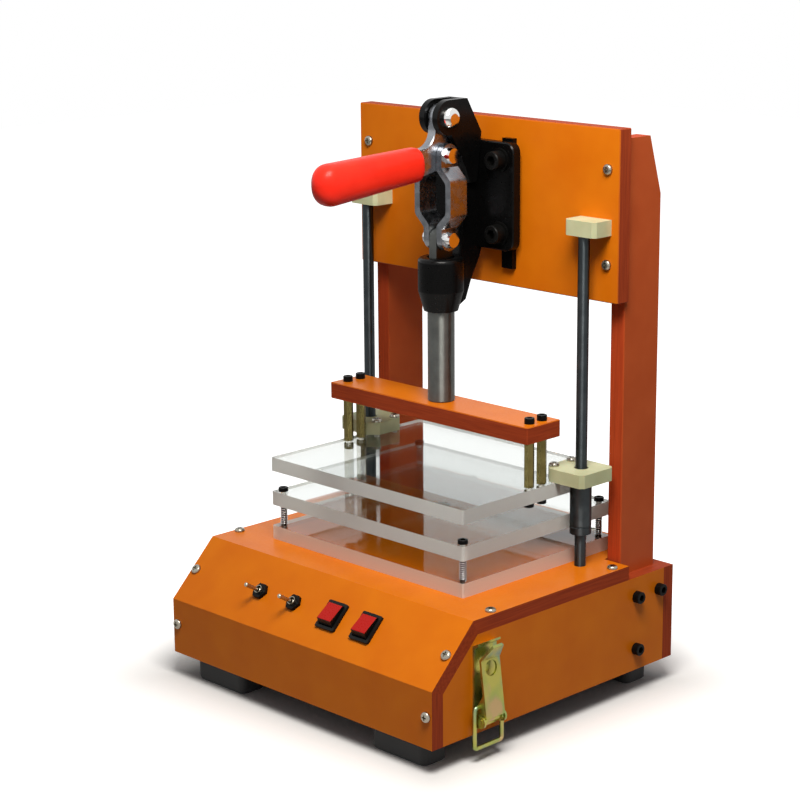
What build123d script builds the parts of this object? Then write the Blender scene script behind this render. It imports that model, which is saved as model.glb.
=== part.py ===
"""Bench test fixture for circuit boards: a wedge-fronted box that carries a tower,
a straight-line toggle clamp and a stack of acrylic plates.

The origin is the middle of the footprint on the table. +X is to the right when the
sloped control panel is faced, +Y points to the back and +Z points up. Millimetres.
"""

import math
import os

from build123d import *

# Box that the fixture stands on
box_width = 260.0
box_depth = 242.0
box_height = 78.0
front_height = 40.0
cover = 10.0
side_panel = 10.0
bottom_sheet = 4.0
foot_height = 18.5
foot_edge_break = 1.5
foot_length = 50.0
foot_width = 22.0
foot_corner = 5.0
foot_recess = 7.0
foot_inset_x = 15.0
foot_inset_y = 8.0
back_screw_heights = (14.0, 42.0)
back_screw_x = 60.0
edge_break = 0.6

# Tower and cross members
slab = 12.0
upright_depth = 36.0
upright_height = 293.5
upright_cut_depth = 12.0
upright_cut_height = 40.0
notch_clearance = 2.5
tongue_clearance = 0.5
beam_length = 247.4
beam_rise = 7.5
beam_height = 117.0

# Acrylic plates
plate_gap = 1.5
plate_depth = 150.0
plate_thickness = 10.0
plate_offset = 2.0
plate_corner = 1.0
spring_gap = 15.4
board_gap = 15.2

# Pressing head
bar_depth = 33.5
bar_overhang = 1.5
standoff_length = 32.4
standoff_across_flats = 6.2
standoff_pitch = 12.5
standoff_inset = 6.0
rod_diameter = 8.0
rod_to_upright = 4.0
rod_to_beam = 12.0
rod_block_length = 27.0
rod_block_depth = 17.5
rod_block_height = 10.6
rod_block_rise = 45.8
rod_block_corner = 2.5
rod_seat_depth = 9.0
bearing_diameter = 15.0
bearing_length = 45.0
bearing_height = 23.4
bearing_groove = 1.2
bearing_groove_inset = 5.5
bearing_rim_clearance = 1.0
bearing_block_inner = 20.8
bearing_block_outer = 15.5
bearing_block_depth = 34.0
bearing_block_height = 9.3
bearing_block_chamfer = 6.8
bearing_block_corner = 3.0
bearing_screw_offset = 16.5
bearing_screw_pitch = 18.4
running_clearance = 0.05
sliding_gap = 0.3

# Toggle clamp
clamp_reach = 42.0
top_pin_rise = 119.4
crank = 25.6
link_length = 58.0
link_width = 16.0
link_thickness = 4.8
link_bow = 8.6
link_straight = 10.0
link_bend = 8.5
link_eye_round = 1.2
link_bow_round = 5.0
pin_diameter = 8.0
pin_head_diameter = 11.0
pin_head_height = 4.2
dome_head_diameter = 14.5
dome_head_height = 5.0
lever_thickness = 7.0
lever_eye = 9.0
lever_throat = 12.0
ear_thickness = 4.8
ear_radius = 12.0
ear_slot_depth = 14.0
plunger_diameter = 19.0
tongue_length = 16.3
plunger_thread = 20.0
plunger_screw_recess = 8.2
barrel_diameter = 32.0
barrel_drop = 133.9
barrel_length = 37.5
barrel_taper = 4.0
barrel_taper_length = 14.0
flange_width = 78.0
flange_height = 75.0
flange_thickness = 7.0
flange_corner = 7.0
flange_rise = 64.0
spacer_width = 10.0
spacer_length = 90.5
spacer_thickness = 4.0
spacer_rise = 58.3
clamp_bolt_pitch_x = 54.0
clamp_bolt_pitch_z = 51.0
web_thickness = 10.0
barrel_rim = 3.0
clamp_bolt_reach = 1.5
grip_length = 93.7
grip_height = 29.0
grip_width = 22.0
grip_mouth_height = 23.5
grip_mouth_width = 18.5
grip_start = 22.5
grip_end_wall = 14.0
grip_tip_round = 10.0
grip_mouth_round = 3.5
handle_axis_drop = 2.6
handle_droop = 4.0
handle_tang_height = 19.0

# Carrier plate guides
guide_inset = 6.0
guide_shank = 4.0
guide_head_height = 2.8
spring_outer = 5.4
spring_wire = 0.6

# Fasteners
screw_shank = 4.0
screw_head_diameter = 7.4
screw_head_height = 2.4
screw_length = 18.0
screw_hole_spare = 1.0
cross_slot = 1.1
screw_clearance = 0.1
cap_shank = 4.0
cap_head_diameter = 7.0
cap_head_height = 4.0
side_bolt_shank = 5.0
side_bolt_head_diameter = 8.5
side_bolt_head_height = 5.0
side_bolt_length = 20.0
clamp_bolt_shank = 8.0
clamp_bolt_head_diameter = 13.0
clamp_bolt_head_height = 8.0
clamp_nut_across_flats = 13.0
clamp_nut_height = 6.5
washer_diameter = 16.0
washer_thickness = 1.6
edge_screw_inset = 5.0
top_screw_front = 59.5
top_screw_back = 14.5
front_screw_height = 22.0
side_bolt_inset = 6.0
side_bolt_pitch = 24.0
side_bolt_depths = (24.2, 62.3)
beam_screw_insets = (25.7, 27.2)
rod_screw_offset = 8.0
rod_screw_reach = 8.0
rod_screw_spare = 3.0
foot_screw_spare = 2.0
latch_rivet_depth = 6.0
latch_rivet_rise = 1.2

# Switches on the sloped panel
toggle_left_x = -54.5
toggle_right_x = -20.0
rocker_left_x = 18.5
rocker_right_x = 51.5
control_height = 26.0
toggle_bushing = 6.0
toggle_bore = 5.0
toggle_ball = 2.2
toggle_nut_across_flats = 10.5
toggle_nut_height = 2.6
toggle_pivot_height = 1.8
toggle_reach = 15.5
toggle_pocket_spare = 4.0
toggle_tilt = 14.0
toggle_stem = 2.4
toggle_tip = 3.2
toggle_thread = 4.5
toggle_body_length = 13.0
toggle_body_width = 9.0
toggle_body_depth = 10.0
pocket_wall = 4.0
rocker_bezel_length = 21.0
rocker_bezel_width = 18.0
rocker_bezel_height = 2.0
rocker_housing_length = 18.6
rocker_housing_width = 16.0
rocker_housing_depth = 12.0
rocker_housing_floor = 2.0
rocker_pivot_height = -0.5
rocker_skirt = 2.6
rocker_radius = 8.2
rocker_width = 13.2
rocker_gap = 0.3
rocker_throw = 20.0
rocker_end_angle = 10.0
rocker_crown_height = 5.6
rocker_crown_length = 14.2
rocker_crown_round = 0.9
rocker_panel_clearance = 0.4
rocker_bezel_round = 1.2

# Draw latches on the side panels
latch_centre_y = -73.2
latch_rivet_heights = (27.0, 44.0)
latch_plate_width = 21.0
latch_plate_bottom = 4.0
latch_plate_top = 61.0
latch_sheet = 1.5
latch_ear_radius = 4.0
latch_pivot_out = 7.0
latch_pivot_height = 10.5
bail_pivot_out = 4.0
bail_pivot_height = 20.0
bail_wire = 3.0
bail_half_width = 12.8
bail_drop = 28.0
bail_bend = 4.0
latch_pin = 3.0
latch_lever_top = 52.0
latch_lever_width = 17.4
latch_tab_length = 13.0
latch_hole = 10.6
latch_hole_height = 45.5
latch_lever_bottom = 13.0
latch_eye_wall = 2.2
latch_rivet_head = 6.0

# Levels and edges that follow from the sizes above
box_bottom = foot_height
deck = box_bottom + box_height
front = -box_depth / 2
back = box_depth / 2
slope_run = box_height - front_height
mitre = cover * math.tan(math.radians(22.5))
side_inner = box_width / 2 - side_panel
edge_screw_x = box_width / 2 - edge_screw_inset
upright_outer = side_inner
upright_inner = upright_outer - slab
upright_back = back - cover
upright_front = upright_back - upright_depth
beam_front = upright_front - slab
beam_high_z = deck + upright_height + beam_rise
beam_low_z = beam_high_z - beam_height
rod_x = upright_inner - rod_to_upright
rod_y = beam_front - rod_to_beam
rod_block_z = beam_low_z + rod_block_rise
plunger_y = beam_front - clamp_reach
bar_centre_y = plunger_y
plate_length = 2 * (rod_x - bearing_diameter / 2 - plate_gap)
plate_centre_y = plunger_y - plate_offset
standoff_x = plate_length / 2 - standoff_inset
probe_bottom = deck
carrier_bottom = probe_bottom + plate_thickness + spring_gap
carrier_top = carrier_bottom + plate_thickness
press_bottom = carrier_top + board_gap
press_top = press_bottom + plate_thickness
bar_bottom = press_top + standoff_length
bar_top = bar_bottom + slab
top_pin_z = beam_low_z + top_pin_rise
flange_z = beam_low_z + flange_rise
spacer_z = beam_low_z + spacer_rise
barrel_low_z = top_pin_z - barrel_drop
middle_pin_z = top_pin_z - crank
lower_pin_z = middle_pin_z - link_length
shoulder_z = lower_pin_z - tongue_length
link_inner = lever_thickness / 2 + sliding_gap
link_outer = link_inner + link_thickness
ear_inner = lever_thickness / 2 + sliding_gap + 0.1
ear_outer = ear_inner + ear_thickness
flange_back = beam_front - spacer_thickness
flange_front = flange_back - flange_thickness
guide_x = plate_length / 2 - guide_inset
guide_y = plate_depth / 2 - guide_inset
bolt_points = [
    (upright_front + side_bolt_inset, deck - side_bolt_depths[0]),
    (upright_front + side_bolt_inset + side_bolt_pitch, deck - side_bolt_depths[0]),
    (upright_front + side_bolt_inset, deck - side_bolt_depths[1]),
]
slope_angle = math.radians(45.0)
slope_plane = Plane(
    origin=(0, front, box_bottom + front_height),
    x_dir=(1, 0, 0),
    z_dir=(0, -math.sin(slope_angle), math.cos(slope_angle)),
)
os.makedirs("parts", exist_ok=True)


def save(piece, name):
    """Name a finished piece and write its STEP file."""
    piece.part.label = name
    export_step(piece.part, f"parts/{name}.step")


def slope_point(x, along, height=0.0):
    """World point on the sloped panel: across, up the slope, out of the face."""
    return slope_plane.from_local_coords(Vector(x, along, height))


def slope_locations(x_values, height=0.0):
    """Planes square to the sloped panel at the height of the controls."""
    planes = []
    for x in x_values:
        planes.append(
            Plane(
                origin=slope_point(x, control_height, height),
                x_dir=(1, 0, 0),
                z_dir=slope_plane.z_dir,
            )
        )
    return planes


def facing(x, y, z, direction):
    """Plane at a point whose normal points in the given direction."""
    turn = (1, 0, 0) if abs(direction[0]) < 0.5 else (0, 1, 0)
    return Plane(origin=(x, y, z), x_dir=turn, z_dir=direction)


# Fastener shapes, each standing on the origin with its head above it

def pan_screw(length):
    """Cross-head screw with a domed head."""
    with BuildPart() as screw:
        Cylinder(screw_shank / 2, length, align=(Align.CENTER, Align.CENTER, Align.MAX))
        Cylinder(
            screw_head_diameter / 2,
            screw_head_height,
            align=(Align.CENTER, Align.CENTER, Align.MIN),
        )
        rim = screw.edges().filter_by(GeomType.CIRCLE).group_by(Axis.Z)[-1]
        fillet(rim, radius=screw_head_height * 0.7)
        with BuildSketch(Plane.XY.offset(screw_head_height)):
            Rectangle(screw_head_diameter * 0.5, cross_slot)
            Rectangle(cross_slot, screw_head_diameter * 0.5)
        extrude(amount=-screw_head_height * 0.6, mode=Mode.SUBTRACT)
    return screw.part


def cap_screw(shank, length, head_diameter, head_height):
    """Socket-head cap screw."""
    with BuildPart() as screw:
        Cylinder(shank / 2, length, align=(Align.CENTER, Align.CENTER, Align.MAX))
        Cylinder(head_diameter / 2, head_height, align=(Align.CENTER, Align.CENTER, Align.MIN))
        rim = screw.edges().filter_by(GeomType.CIRCLE).group_by(Axis.Z)[-1]
        chamfer(rim, length=head_diameter * 0.05)
        with BuildSketch(Plane.XY.offset(head_height)):
            RegularPolygon(radius=head_diameter * 0.29, side_count=6)
        extrude(amount=-head_height * 0.55, mode=Mode.SUBTRACT)
    return screw.part


def hex_nut(across_flats, height, bore):
    """Plain hexagon nut with broken corners."""
    with BuildPart() as nut:
        with BuildSketch():
            RegularPolygon(radius=across_flats / 2, side_count=6, major_radius=False)
            Circle(bore / 2, mode=Mode.SUBTRACT)
        extrude(amount=height)
    return nut.part


def hex_pin(length):
    """Clamp pin along Z: a plain shank below a broken-edged hexagon head."""
    with BuildPart() as pin:
        with BuildSketch():
            RegularPolygon(radius=pin_head_diameter / 2, side_count=6, major_radius=False)
        extrude(amount=pin_head_height)
        with BuildSketch():
            Circle(pin_head_diameter * 0.56)
        extrude(amount=pin_head_height, taper=14, mode=Mode.INTERSECT)
        Cylinder(pin_diameter / 2, length, align=(Align.CENTER, Align.CENTER, Align.MAX))
    return pin.part


def dome_pin(length):
    """Clamp pin along Z with a riveted dome head."""
    with BuildPart() as pin:
        Cylinder(
            dome_head_diameter / 2,
            dome_head_height,
            align=(Align.CENTER, Align.CENTER, Align.MIN),
        )
        rim = pin.edges().filter_by(GeomType.CIRCLE).group_by(Axis.Z)[-1]
        fillet(rim, radius=dome_head_height * 0.8)
        Cylinder(pin_diameter / 2, length, align=(Align.CENTER, Align.CENTER, Align.MAX))
    return pin.part


def place_group(shape, planes, name):
    """Write one node that holds a copy of the shape at every plane."""
    with BuildPart() as group:
        with Locations(*planes):
            add(shape)
    save(group, name)
    return group.part


# Screw positions of the box

top_screw_planes = []
for x in (-edge_screw_x, edge_screw_x):
    for y in (front + top_screw_front, upright_front - top_screw_back):
        top_screw_planes.append(facing(x, y, deck, (0, 0, 1)))
for x in (-back_screw_x, back_screw_x):
    top_screw_planes.append(facing(x, back - cover / 2, deck, (0, 0, 1)))
front_screw_planes = []
slope_screw_planes = []
back_screw_planes = []
for x in (-edge_screw_x, edge_screw_x):
    front_screw_planes.append(facing(x, front, box_bottom + front_screw_height, (0, -1, 0)))
    slope_screw_planes.append(
        Plane(
            origin=slope_point(x, control_height),
            x_dir=(1, 0, 0),
            z_dir=slope_plane.z_dir,
        )
    )
    for height in back_screw_heights:
        back_screw_planes.append(facing(x, back, box_bottom + height, (0, 1, 0)))
panel_screw_planes = (
    top_screw_planes + front_screw_planes + slope_screw_planes + back_screw_planes
)
side_bolt_planes = []
for side in (-1, 1):
    for y, z in bolt_points:
        side_bolt_planes.append(facing(side * box_width / 2, y, z, (side, 0, 0)))
beam_screw_planes = []
for x in (-upright_outer + slab / 2, upright_outer - slab / 2):
    for z in (beam_low_z + beam_screw_insets[0], beam_high_z - beam_screw_insets[1]):
        beam_screw_planes.append(facing(x, beam_front, z, (0, -1, 0)))
rod_screw_planes = []
for side in (-1, 1):
    rod_screw_planes.append(
        facing(
            side * (rod_x - rod_screw_offset),
            upright_front,
            rod_block_z + rod_block_height / 2,
            (0, 1, 0),
        )
    )
clamp_bolt_points = []
for x in (-clamp_bolt_pitch_x / 2, clamp_bolt_pitch_x / 2):
    for z in (-clamp_bolt_pitch_z / 2, clamp_bolt_pitch_z / 2):
        clamp_bolt_points.append((x, flange_z + z))
foot_centres = []
for x in (-1, 1):
    for y in (-1, 1):
        foot_centres.append(
            (
                x * (box_width / 2 - foot_inset_x - foot_length / 2),
                y * (box_depth / 2 - foot_inset_y - foot_width / 2),
            )
        )
screw_hole = screw_shank / 2 + screw_clearance


# Covers and side panels of the box

def side_panel_piece(side):
    """Side panel inside the covers, drilled for the cover screws and tower bolts."""
    with BuildPart() as panel:
        with BuildSketch(Plane.YZ.offset(side * side_inner)):
            with BuildLine():
                Polyline(
                    (front + cover, box_bottom),
                    (front + cover, box_bottom + front_height - mitre),
                    (front + slope_run + mitre, deck - cover),
                    (back - cover, deck - cover),
                    (back - cover, box_bottom),
                    close=True,
                )
            make_face()
        extrude(amount=side * side_panel)
        with Locations(*panel_screw_planes):
            Hole(radius=screw_hole, depth=screw_length + screw_hole_spare)
        with Locations(*side_bolt_planes):
            Hole(radius=side_bolt_shank / 2 + screw_clearance, depth=side_panel)
        with Locations(*latch_rivet_planes()):
            Hole(radius=latch_pin / 2, depth=latch_rivet_depth)
    return panel


def cover_profile(points):
    """Cover panel: a profile in the YZ plane drawn out over the full width."""
    with BuildPart() as panel:
        with BuildSketch(Plane.YZ.offset(-box_width / 2)):
            with BuildLine():
                Polyline(*points, close=True)
            make_face()
        extrude(amount=box_width)
        with Locations(*panel_screw_planes):
            Hole(radius=screw_hole, depth=cover * 1.5)
    return panel


def latch_rivet_planes():
    """Places where the latch base plates are riveted to the side panels."""
    planes = []
    for side in (-1, 1):
        for height in latch_rivet_heights:
            planes.append(
                facing(side * box_width / 2, latch_centre_y, box_bottom + height, (side, 0, 0))
            )
    return planes


for side, side_name in ((-1, "left"), (1, "right")):
    save(side_panel_piece(side), f"{side_name}_side_panel")

front_panel = cover_profile(
    [
        (front, box_bottom),
        (front + cover, box_bottom),
        (front + cover, box_bottom + front_height - mitre),
        (front, box_bottom + front_height),
    ]
)
save(front_panel, "front_panel")

slope_blank = cover_profile(
    [
        (front, box_bottom + front_height),
        (front + cover, box_bottom + front_height - mitre),
        (front + slope_run + mitre, deck - cover),
        (front + slope_run, deck),
    ]
)
toggle_x = (toggle_left_x, toggle_right_x)
rocker_x = (rocker_left_x, rocker_right_x)
with BuildPart() as slope_panel:
    add(slope_blank.part)
    with BuildSketch(*slope_locations(toggle_x, -cover)):
        Rectangle(
            toggle_body_length + toggle_pocket_spare,
            toggle_body_width + toggle_pocket_spare,
        )
    extrude(amount=cover - pocket_wall, mode=Mode.SUBTRACT)
    with Locations(*slope_locations(toggle_x)):
        Hole(radius=toggle_bushing / 2 + screw_clearance, depth=cover)
    with BuildSketch(*slope_locations(rocker_x, -cover)):
        Rectangle(
            rocker_housing_width + rocker_panel_clearance,
            rocker_housing_length + rocker_panel_clearance,
        )
    extrude(amount=cover, mode=Mode.SUBTRACT)
save(slope_panel, "slope_panel")

top_blank = cover_profile(
    [
        (front + slope_run, deck),
        (front + slope_run + mitre, deck - cover),
        (back, deck - cover),
        (back, deck),
    ]
)
notch_front = upright_front - notch_clearance
notch_inner = upright_inner - tongue_clearance
with BuildPart() as top_plate:
    add(top_blank.part)
    for side in (-1, 1):
        with BuildSketch(Plane.XY.offset(deck)):
            with Locations((side * (notch_inner + box_width / 2) / 2, (notch_front + back) / 2)):
                Rectangle(box_width / 2 - notch_inner, back - notch_front)
        extrude(amount=-cover, mode=Mode.SUBTRACT)
    with Locations((-rod_x, rod_y, deck), (rod_x, rod_y, deck)):
        Hole(radius=rod_diameter / 2, depth=cover)
save(top_plate, "top_plate")

with BuildPart() as back_panel:
    with BuildSketch(Plane.XY.offset(box_bottom)):
        with Locations((0, back - cover / 2)):
            Rectangle(box_width, cover)
    extrude(amount=box_height - cover)
    with Locations(*panel_screw_planes):
        Hole(radius=screw_hole, depth=screw_length + screw_hole_spare)
save(back_panel, "back_panel")

with BuildPart() as bottom_plate:
    with BuildSketch(Plane.XY.offset(box_bottom)):
        Rectangle(2 * side_inner, box_depth - 2 * cover)
    extrude(amount=bottom_sheet)
    with Locations(*[facing(x, y, box_bottom, (0, 0, -1)) for x, y in foot_centres]):
        Hole(radius=screw_hole, depth=bottom_sheet)
save(bottom_plate, "bottom_plate")

place_group(pan_screw(screw_length), panel_screw_planes, "panel_screws")

# Rubber feet with a sunk screw each

with BuildPart() as rubber_feet:
    with BuildSketch(Plane.XY):
        with Locations(*foot_centres):
            RectangleRounded(foot_length, foot_width, foot_corner)
    extrude(amount=foot_height)
    chamfer(rubber_feet.edges().group_by(Axis.Z)[0], length=foot_edge_break)
    with Locations(*[facing(x, y, 0, (0, 0, -1)) for x, y in foot_centres]):
        CounterBoreHole(
            radius=screw_hole,
            counter_bore_radius=screw_head_diameter / 2 + 0.8,
            counter_bore_depth=foot_recess,
            depth=foot_height,
        )
save(rubber_feet, "rubber_feet")
place_group(
    pan_screw(foot_height - foot_recess + bottom_sheet + foot_screw_spare),
    [facing(x, y, foot_recess, (0, 0, -1)) for x, y in foot_centres],
    "foot_screws",
)


# Switches on the sloped panel

with BuildPart() as toggle_bodies:
    with BuildSketch(*slope_locations(toggle_x, -pocket_wall)):
        Rectangle(toggle_body_length, toggle_body_width)
    extrude(amount=-toggle_body_depth)
    with BuildSketch(*slope_locations(toggle_x, -pocket_wall)):
        Circle(toggle_bushing / 2)
    extrude(amount=pocket_wall + toggle_thread)
    with Locations(*slope_locations(toggle_x, toggle_thread)):
        Hole(radius=toggle_bore / 2, depth=toggle_thread + 1.0)
save(toggle_bodies, "toggle_bodies")
place_group(
    hex_nut(toggle_nut_across_flats, toggle_nut_height, toggle_bushing + 2 * screw_clearance),
    slope_locations(toggle_x),
    "toggle_nuts",
)


def toggle_lever(x, name):
    """Bat lever on a ball inside the bushing, tilted down the slope at rest."""
    pivot = slope_point(x, control_height, toggle_pivot_height)
    square = Plane(origin=pivot, x_dir=(1, 0, 0), z_dir=slope_plane.z_dir)
    tilted = square.rotated((toggle_tilt, 0, 0))
    with BuildPart() as lever:
        with Locations(tilted):
            Sphere(toggle_ball)
            Cone(
                toggle_stem / 2,
                toggle_tip / 2,
                toggle_reach,
                align=(Align.CENTER, Align.CENTER, Align.MIN),
            )
        tip = tilted.from_local_coords(Vector(0, 0, toggle_reach))
        rims = lever.edges().filter_by(GeomType.CIRCLE)
        fillet(rims.sort_by_distance(tip)[0], radius=toggle_tip * 0.4)
    save(lever, name)


toggle_lever(toggle_x[0], "toggle_lever_left")
toggle_lever(toggle_x[1], "toggle_lever_right")

rocker_cavity = rocker_radius + rocker_gap
with BuildPart() as rocker_housings:
    with BuildSketch(*slope_locations(rocker_x)):
        RectangleRounded(rocker_bezel_width, rocker_bezel_length, rocker_bezel_round)
    extrude(amount=rocker_bezel_height)
    with BuildSketch(*slope_locations(rocker_x)):
        Rectangle(rocker_housing_width, rocker_housing_length)
    extrude(amount=-rocker_housing_depth)
    with BuildSketch(*slope_locations(rocker_x, rocker_bezel_height)):
        Rectangle(rocker_width + 2 * rocker_gap, 2 * rocker_cavity)
    extrude(
        amount=rocker_housing_floor - rocker_bezel_height - rocker_housing_depth,
        mode=Mode.SUBTRACT,
    )
save(rocker_housings, "rocker_housings")


def rocker(x, name):
    """Rocker with a flat crown, tipped so that its lower end stands up."""
    pivot = slope_point(x - rocker_width / 2, control_height, rocker_pivot_height)
    crown_dir = slope_plane.y_dir.rotate(Axis.X, -rocker_throw / 2)
    side_view = Plane(origin=pivot, x_dir=crown_dir, z_dir=(1, 0, 0))
    end_angle = math.radians(rocker_end_angle)
    end_out = rocker_radius * math.cos(end_angle)
    end_up = rocker_radius * math.sin(end_angle)
    with BuildPart() as piece:
        with BuildSketch(side_view) as outline:
            Circle(rocker_radius)
            with Locations((0, (end_up - rocker_skirt) / 2)):
                Rectangle(3 * rocker_radius, end_up + rocker_skirt, mode=Mode.INTERSECT)
            with BuildLine():
                Polyline(
                    (-end_out, end_up),
                    (-rocker_crown_length / 2, rocker_crown_height),
                    (rocker_crown_length / 2, rocker_crown_height),
                    (end_out, end_up),
                    close=True,
                )
            make_face()
            fillet(outline.vertices().group_by(Axis.Y)[-1], radius=rocker_crown_round)
        extrude(amount=rocker_width)
    save(piece, name)


rocker(rocker_x[0], "rocker_left")
rocker(rocker_x[1], "rocker_right")


# Tower: two uprights and the beam plate

def upright(side):
    """Upright bolted inside a side panel, with its rear top corner cut away."""
    foot = box_bottom + bottom_sheet
    with BuildPart() as post:
        with BuildSketch(Plane.YZ.offset(side * upright_inner)):
            with BuildLine():
                Polyline(
                    (upright_front, foot),
                    (upright_front, deck + upright_height),
                    (upright_back - upright_cut_depth, deck + upright_height),
                    (upright_back, deck + upright_height - upright_cut_height),
                    (upright_back, foot),
                    close=True,
                )
            make_face()
        extrude(amount=side * slab)
        long_edges = post.edges().filter_by(Axis.Z).group_by(Axis.Y)[0]
        chamfer(long_edges, length=edge_break)
        with Locations(*side_bolt_planes):
            Hole(radius=side_bolt_shank / 2 + screw_clearance, depth=side_panel + slab)
        with Locations(*beam_screw_planes):
            Hole(radius=screw_hole, depth=slab + screw_length)
    return post


for side, side_name in ((-1, "left"), (1, "right")):
    save(upright(side), f"{side_name}_upright")
place_group(
    cap_screw(side_bolt_shank, side_bolt_length, side_bolt_head_diameter, side_bolt_head_height),
    side_bolt_planes,
    "upright_bolts",
)

with BuildPart() as beam_plate:
    with BuildSketch(Plane.XZ.offset(-beam_front)):
        with Locations((0, beam_low_z + beam_height / 2)):
            Rectangle(beam_length, beam_height)
    extrude(amount=-slab)
    chamfer(beam_plate.edges(), length=edge_break)
    with Locations(*beam_screw_planes):
        Hole(radius=screw_hole, depth=slab)
    with Locations(*rod_screw_planes):
        Hole(radius=screw_hole, depth=slab)
    with Locations(*[facing(x, beam_front, z, (0, -1, 0)) for x, z in clamp_bolt_points]):
        Hole(radius=clamp_bolt_shank / 2 + screw_clearance, depth=slab)
save(beam_plate, "beam_plate")
place_group(pan_screw(slab + screw_length - 4.0), beam_screw_planes, "beam_screws")

# Guide rods and the blocks that hold their top ends

rod_bottom = deck - cover
rod_top = rod_block_z + rod_seat_depth
with BuildPart() as guide_rods:
    with BuildSketch(Plane.XY.offset(rod_bottom)):
        with Locations((-rod_x, rod_y), (rod_x, rod_y)):
            Circle(rod_diameter / 2)
    extrude(amount=rod_top - rod_bottom)
    chamfer(guide_rods.edges().filter_by(GeomType.CIRCLE), length=edge_break)
save(guide_rods, "guide_rods")

block_y = beam_front - rod_block_depth / 2
with BuildPart() as rod_blocks:
    with BuildSketch(Plane.XY.offset(rod_block_z)):
        with Locations((-rod_x, block_y), (rod_x, block_y)):
            Rectangle(rod_block_length, rod_block_depth)
    extrude(amount=rod_block_height)
    chamfer(rod_blocks.edges().filter_by(Axis.Z).group_by(Axis.Y)[0], length=rod_block_corner)
    with Locations(
        facing(-rod_x, rod_y, rod_block_z, (0, 0, -1)),
        facing(rod_x, rod_y, rod_block_z, (0, 0, -1)),
    ):
        Hole(radius=rod_diameter / 2, depth=rod_seat_depth)
    with Locations(*rod_screw_planes):
        Hole(radius=screw_hole, depth=slab + rod_block_depth - rod_screw_reach + rod_screw_spare)
save(rod_blocks, "rod_blocks")
place_group(pan_screw(slab + rod_block_depth - rod_screw_reach), rod_screw_planes, "rod_block_screws")


# Acrylic plates

def acrylic_plate(bottom):
    """Clear plate centred on the stack, with its upright corners broken."""
    with BuildPart() as plate:
        with BuildSketch(Plane.XY.offset(bottom)):
            with Locations((0, plate_centre_y)):
                Rectangle(plate_length, plate_depth)
        extrude(amount=plate_thickness)
        chamfer(plate.edges().filter_by(Axis.Z), length=plate_corner)
    return plate


guide_centres = []
for x in (-guide_x, guide_x):
    for y in (plate_centre_y - guide_y, plate_centre_y + guide_y):
        guide_centres.append((x, y))
standoff_centres = []
for x in (-standoff_x, standoff_x):
    for y in (bar_centre_y - standoff_pitch / 2, bar_centre_y + standoff_pitch / 2):
        standoff_centres.append((x, y))
bearing_screw_centres = []
for side in (-1, 1):
    for y in (rod_y - bearing_screw_pitch / 2, rod_y + bearing_screw_pitch / 2):
        bearing_screw_centres.append((side * (rod_x - bearing_screw_offset), y))

probe_blank = acrylic_plate(probe_bottom)
with BuildPart() as probe_plate:
    add(probe_blank.part)
    with Locations(*[(x, y, probe_bottom + plate_thickness) for x, y in guide_centres]):
        Hole(radius=guide_shank / 2, depth=plate_thickness)
save(probe_plate, "probe_plate")

carrier_blank = acrylic_plate(carrier_bottom)
with BuildPart() as carrier_plate:
    add(carrier_blank.part)
    with Locations(*[(x, y, carrier_top) for x, y in guide_centres]):
        Hole(radius=guide_shank / 2 + running_clearance, depth=plate_thickness)
save(carrier_plate, "carrier_plate")

guide_length = plate_thickness * 2 + spring_gap
place_group(
    cap_screw(guide_shank, guide_length - 0.5, cap_head_diameter, guide_head_height),
    [facing(x, y, carrier_top + 0.05, (0, 0, 1)) for x, y in guide_centres],
    "carrier_guide_screws",
)
with BuildPart() as carrier_springs:
    with BuildSketch(Plane.XY.offset(probe_bottom + plate_thickness)):
        with Locations(*guide_centres):
            Circle(spring_outer / 2)
            Circle(spring_outer / 2 - spring_wire, mode=Mode.SUBTRACT)
    extrude(amount=spring_gap)
save(carrier_springs, "carrier_springs")

press_blank = acrylic_plate(press_bottom)
with BuildPart() as press_plate:
    add(press_blank.part)
    with Locations(*[(x, y, press_top) for x, y in standoff_centres]):
        Hole(radius=cap_shank / 2 + screw_clearance, depth=plate_thickness)
    with Locations(*[(x, y, press_top) for x, y in bearing_screw_centres]):
        Hole(radius=screw_shank / 2, depth=plate_thickness)
save(press_plate, "press_plate")

# Cross bar, standoffs and their screws

with BuildPart() as cross_bar:
    with BuildSketch(Plane.XY.offset(bar_bottom)):
        with Locations((0, bar_centre_y)):
            Rectangle(plate_length + 2 * bar_overhang, bar_depth)
    extrude(amount=slab)
    chamfer(cross_bar.edges(), length=edge_break)
    with Locations(*[(x, y, bar_top) for x, y in standoff_centres]):
        Hole(radius=cap_shank / 2 + screw_clearance, depth=slab)
    with Locations(facing(0, bar_centre_y, bar_bottom, (0, 0, -1))):
        CounterBoreHole(
            radius=clamp_bolt_shank / 2 + screw_clearance,
            counter_bore_radius=clamp_bolt_head_diameter / 2 + 0.5,
            counter_bore_depth=plunger_screw_recess,
            depth=slab,
        )
save(cross_bar, "cross_bar")

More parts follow.
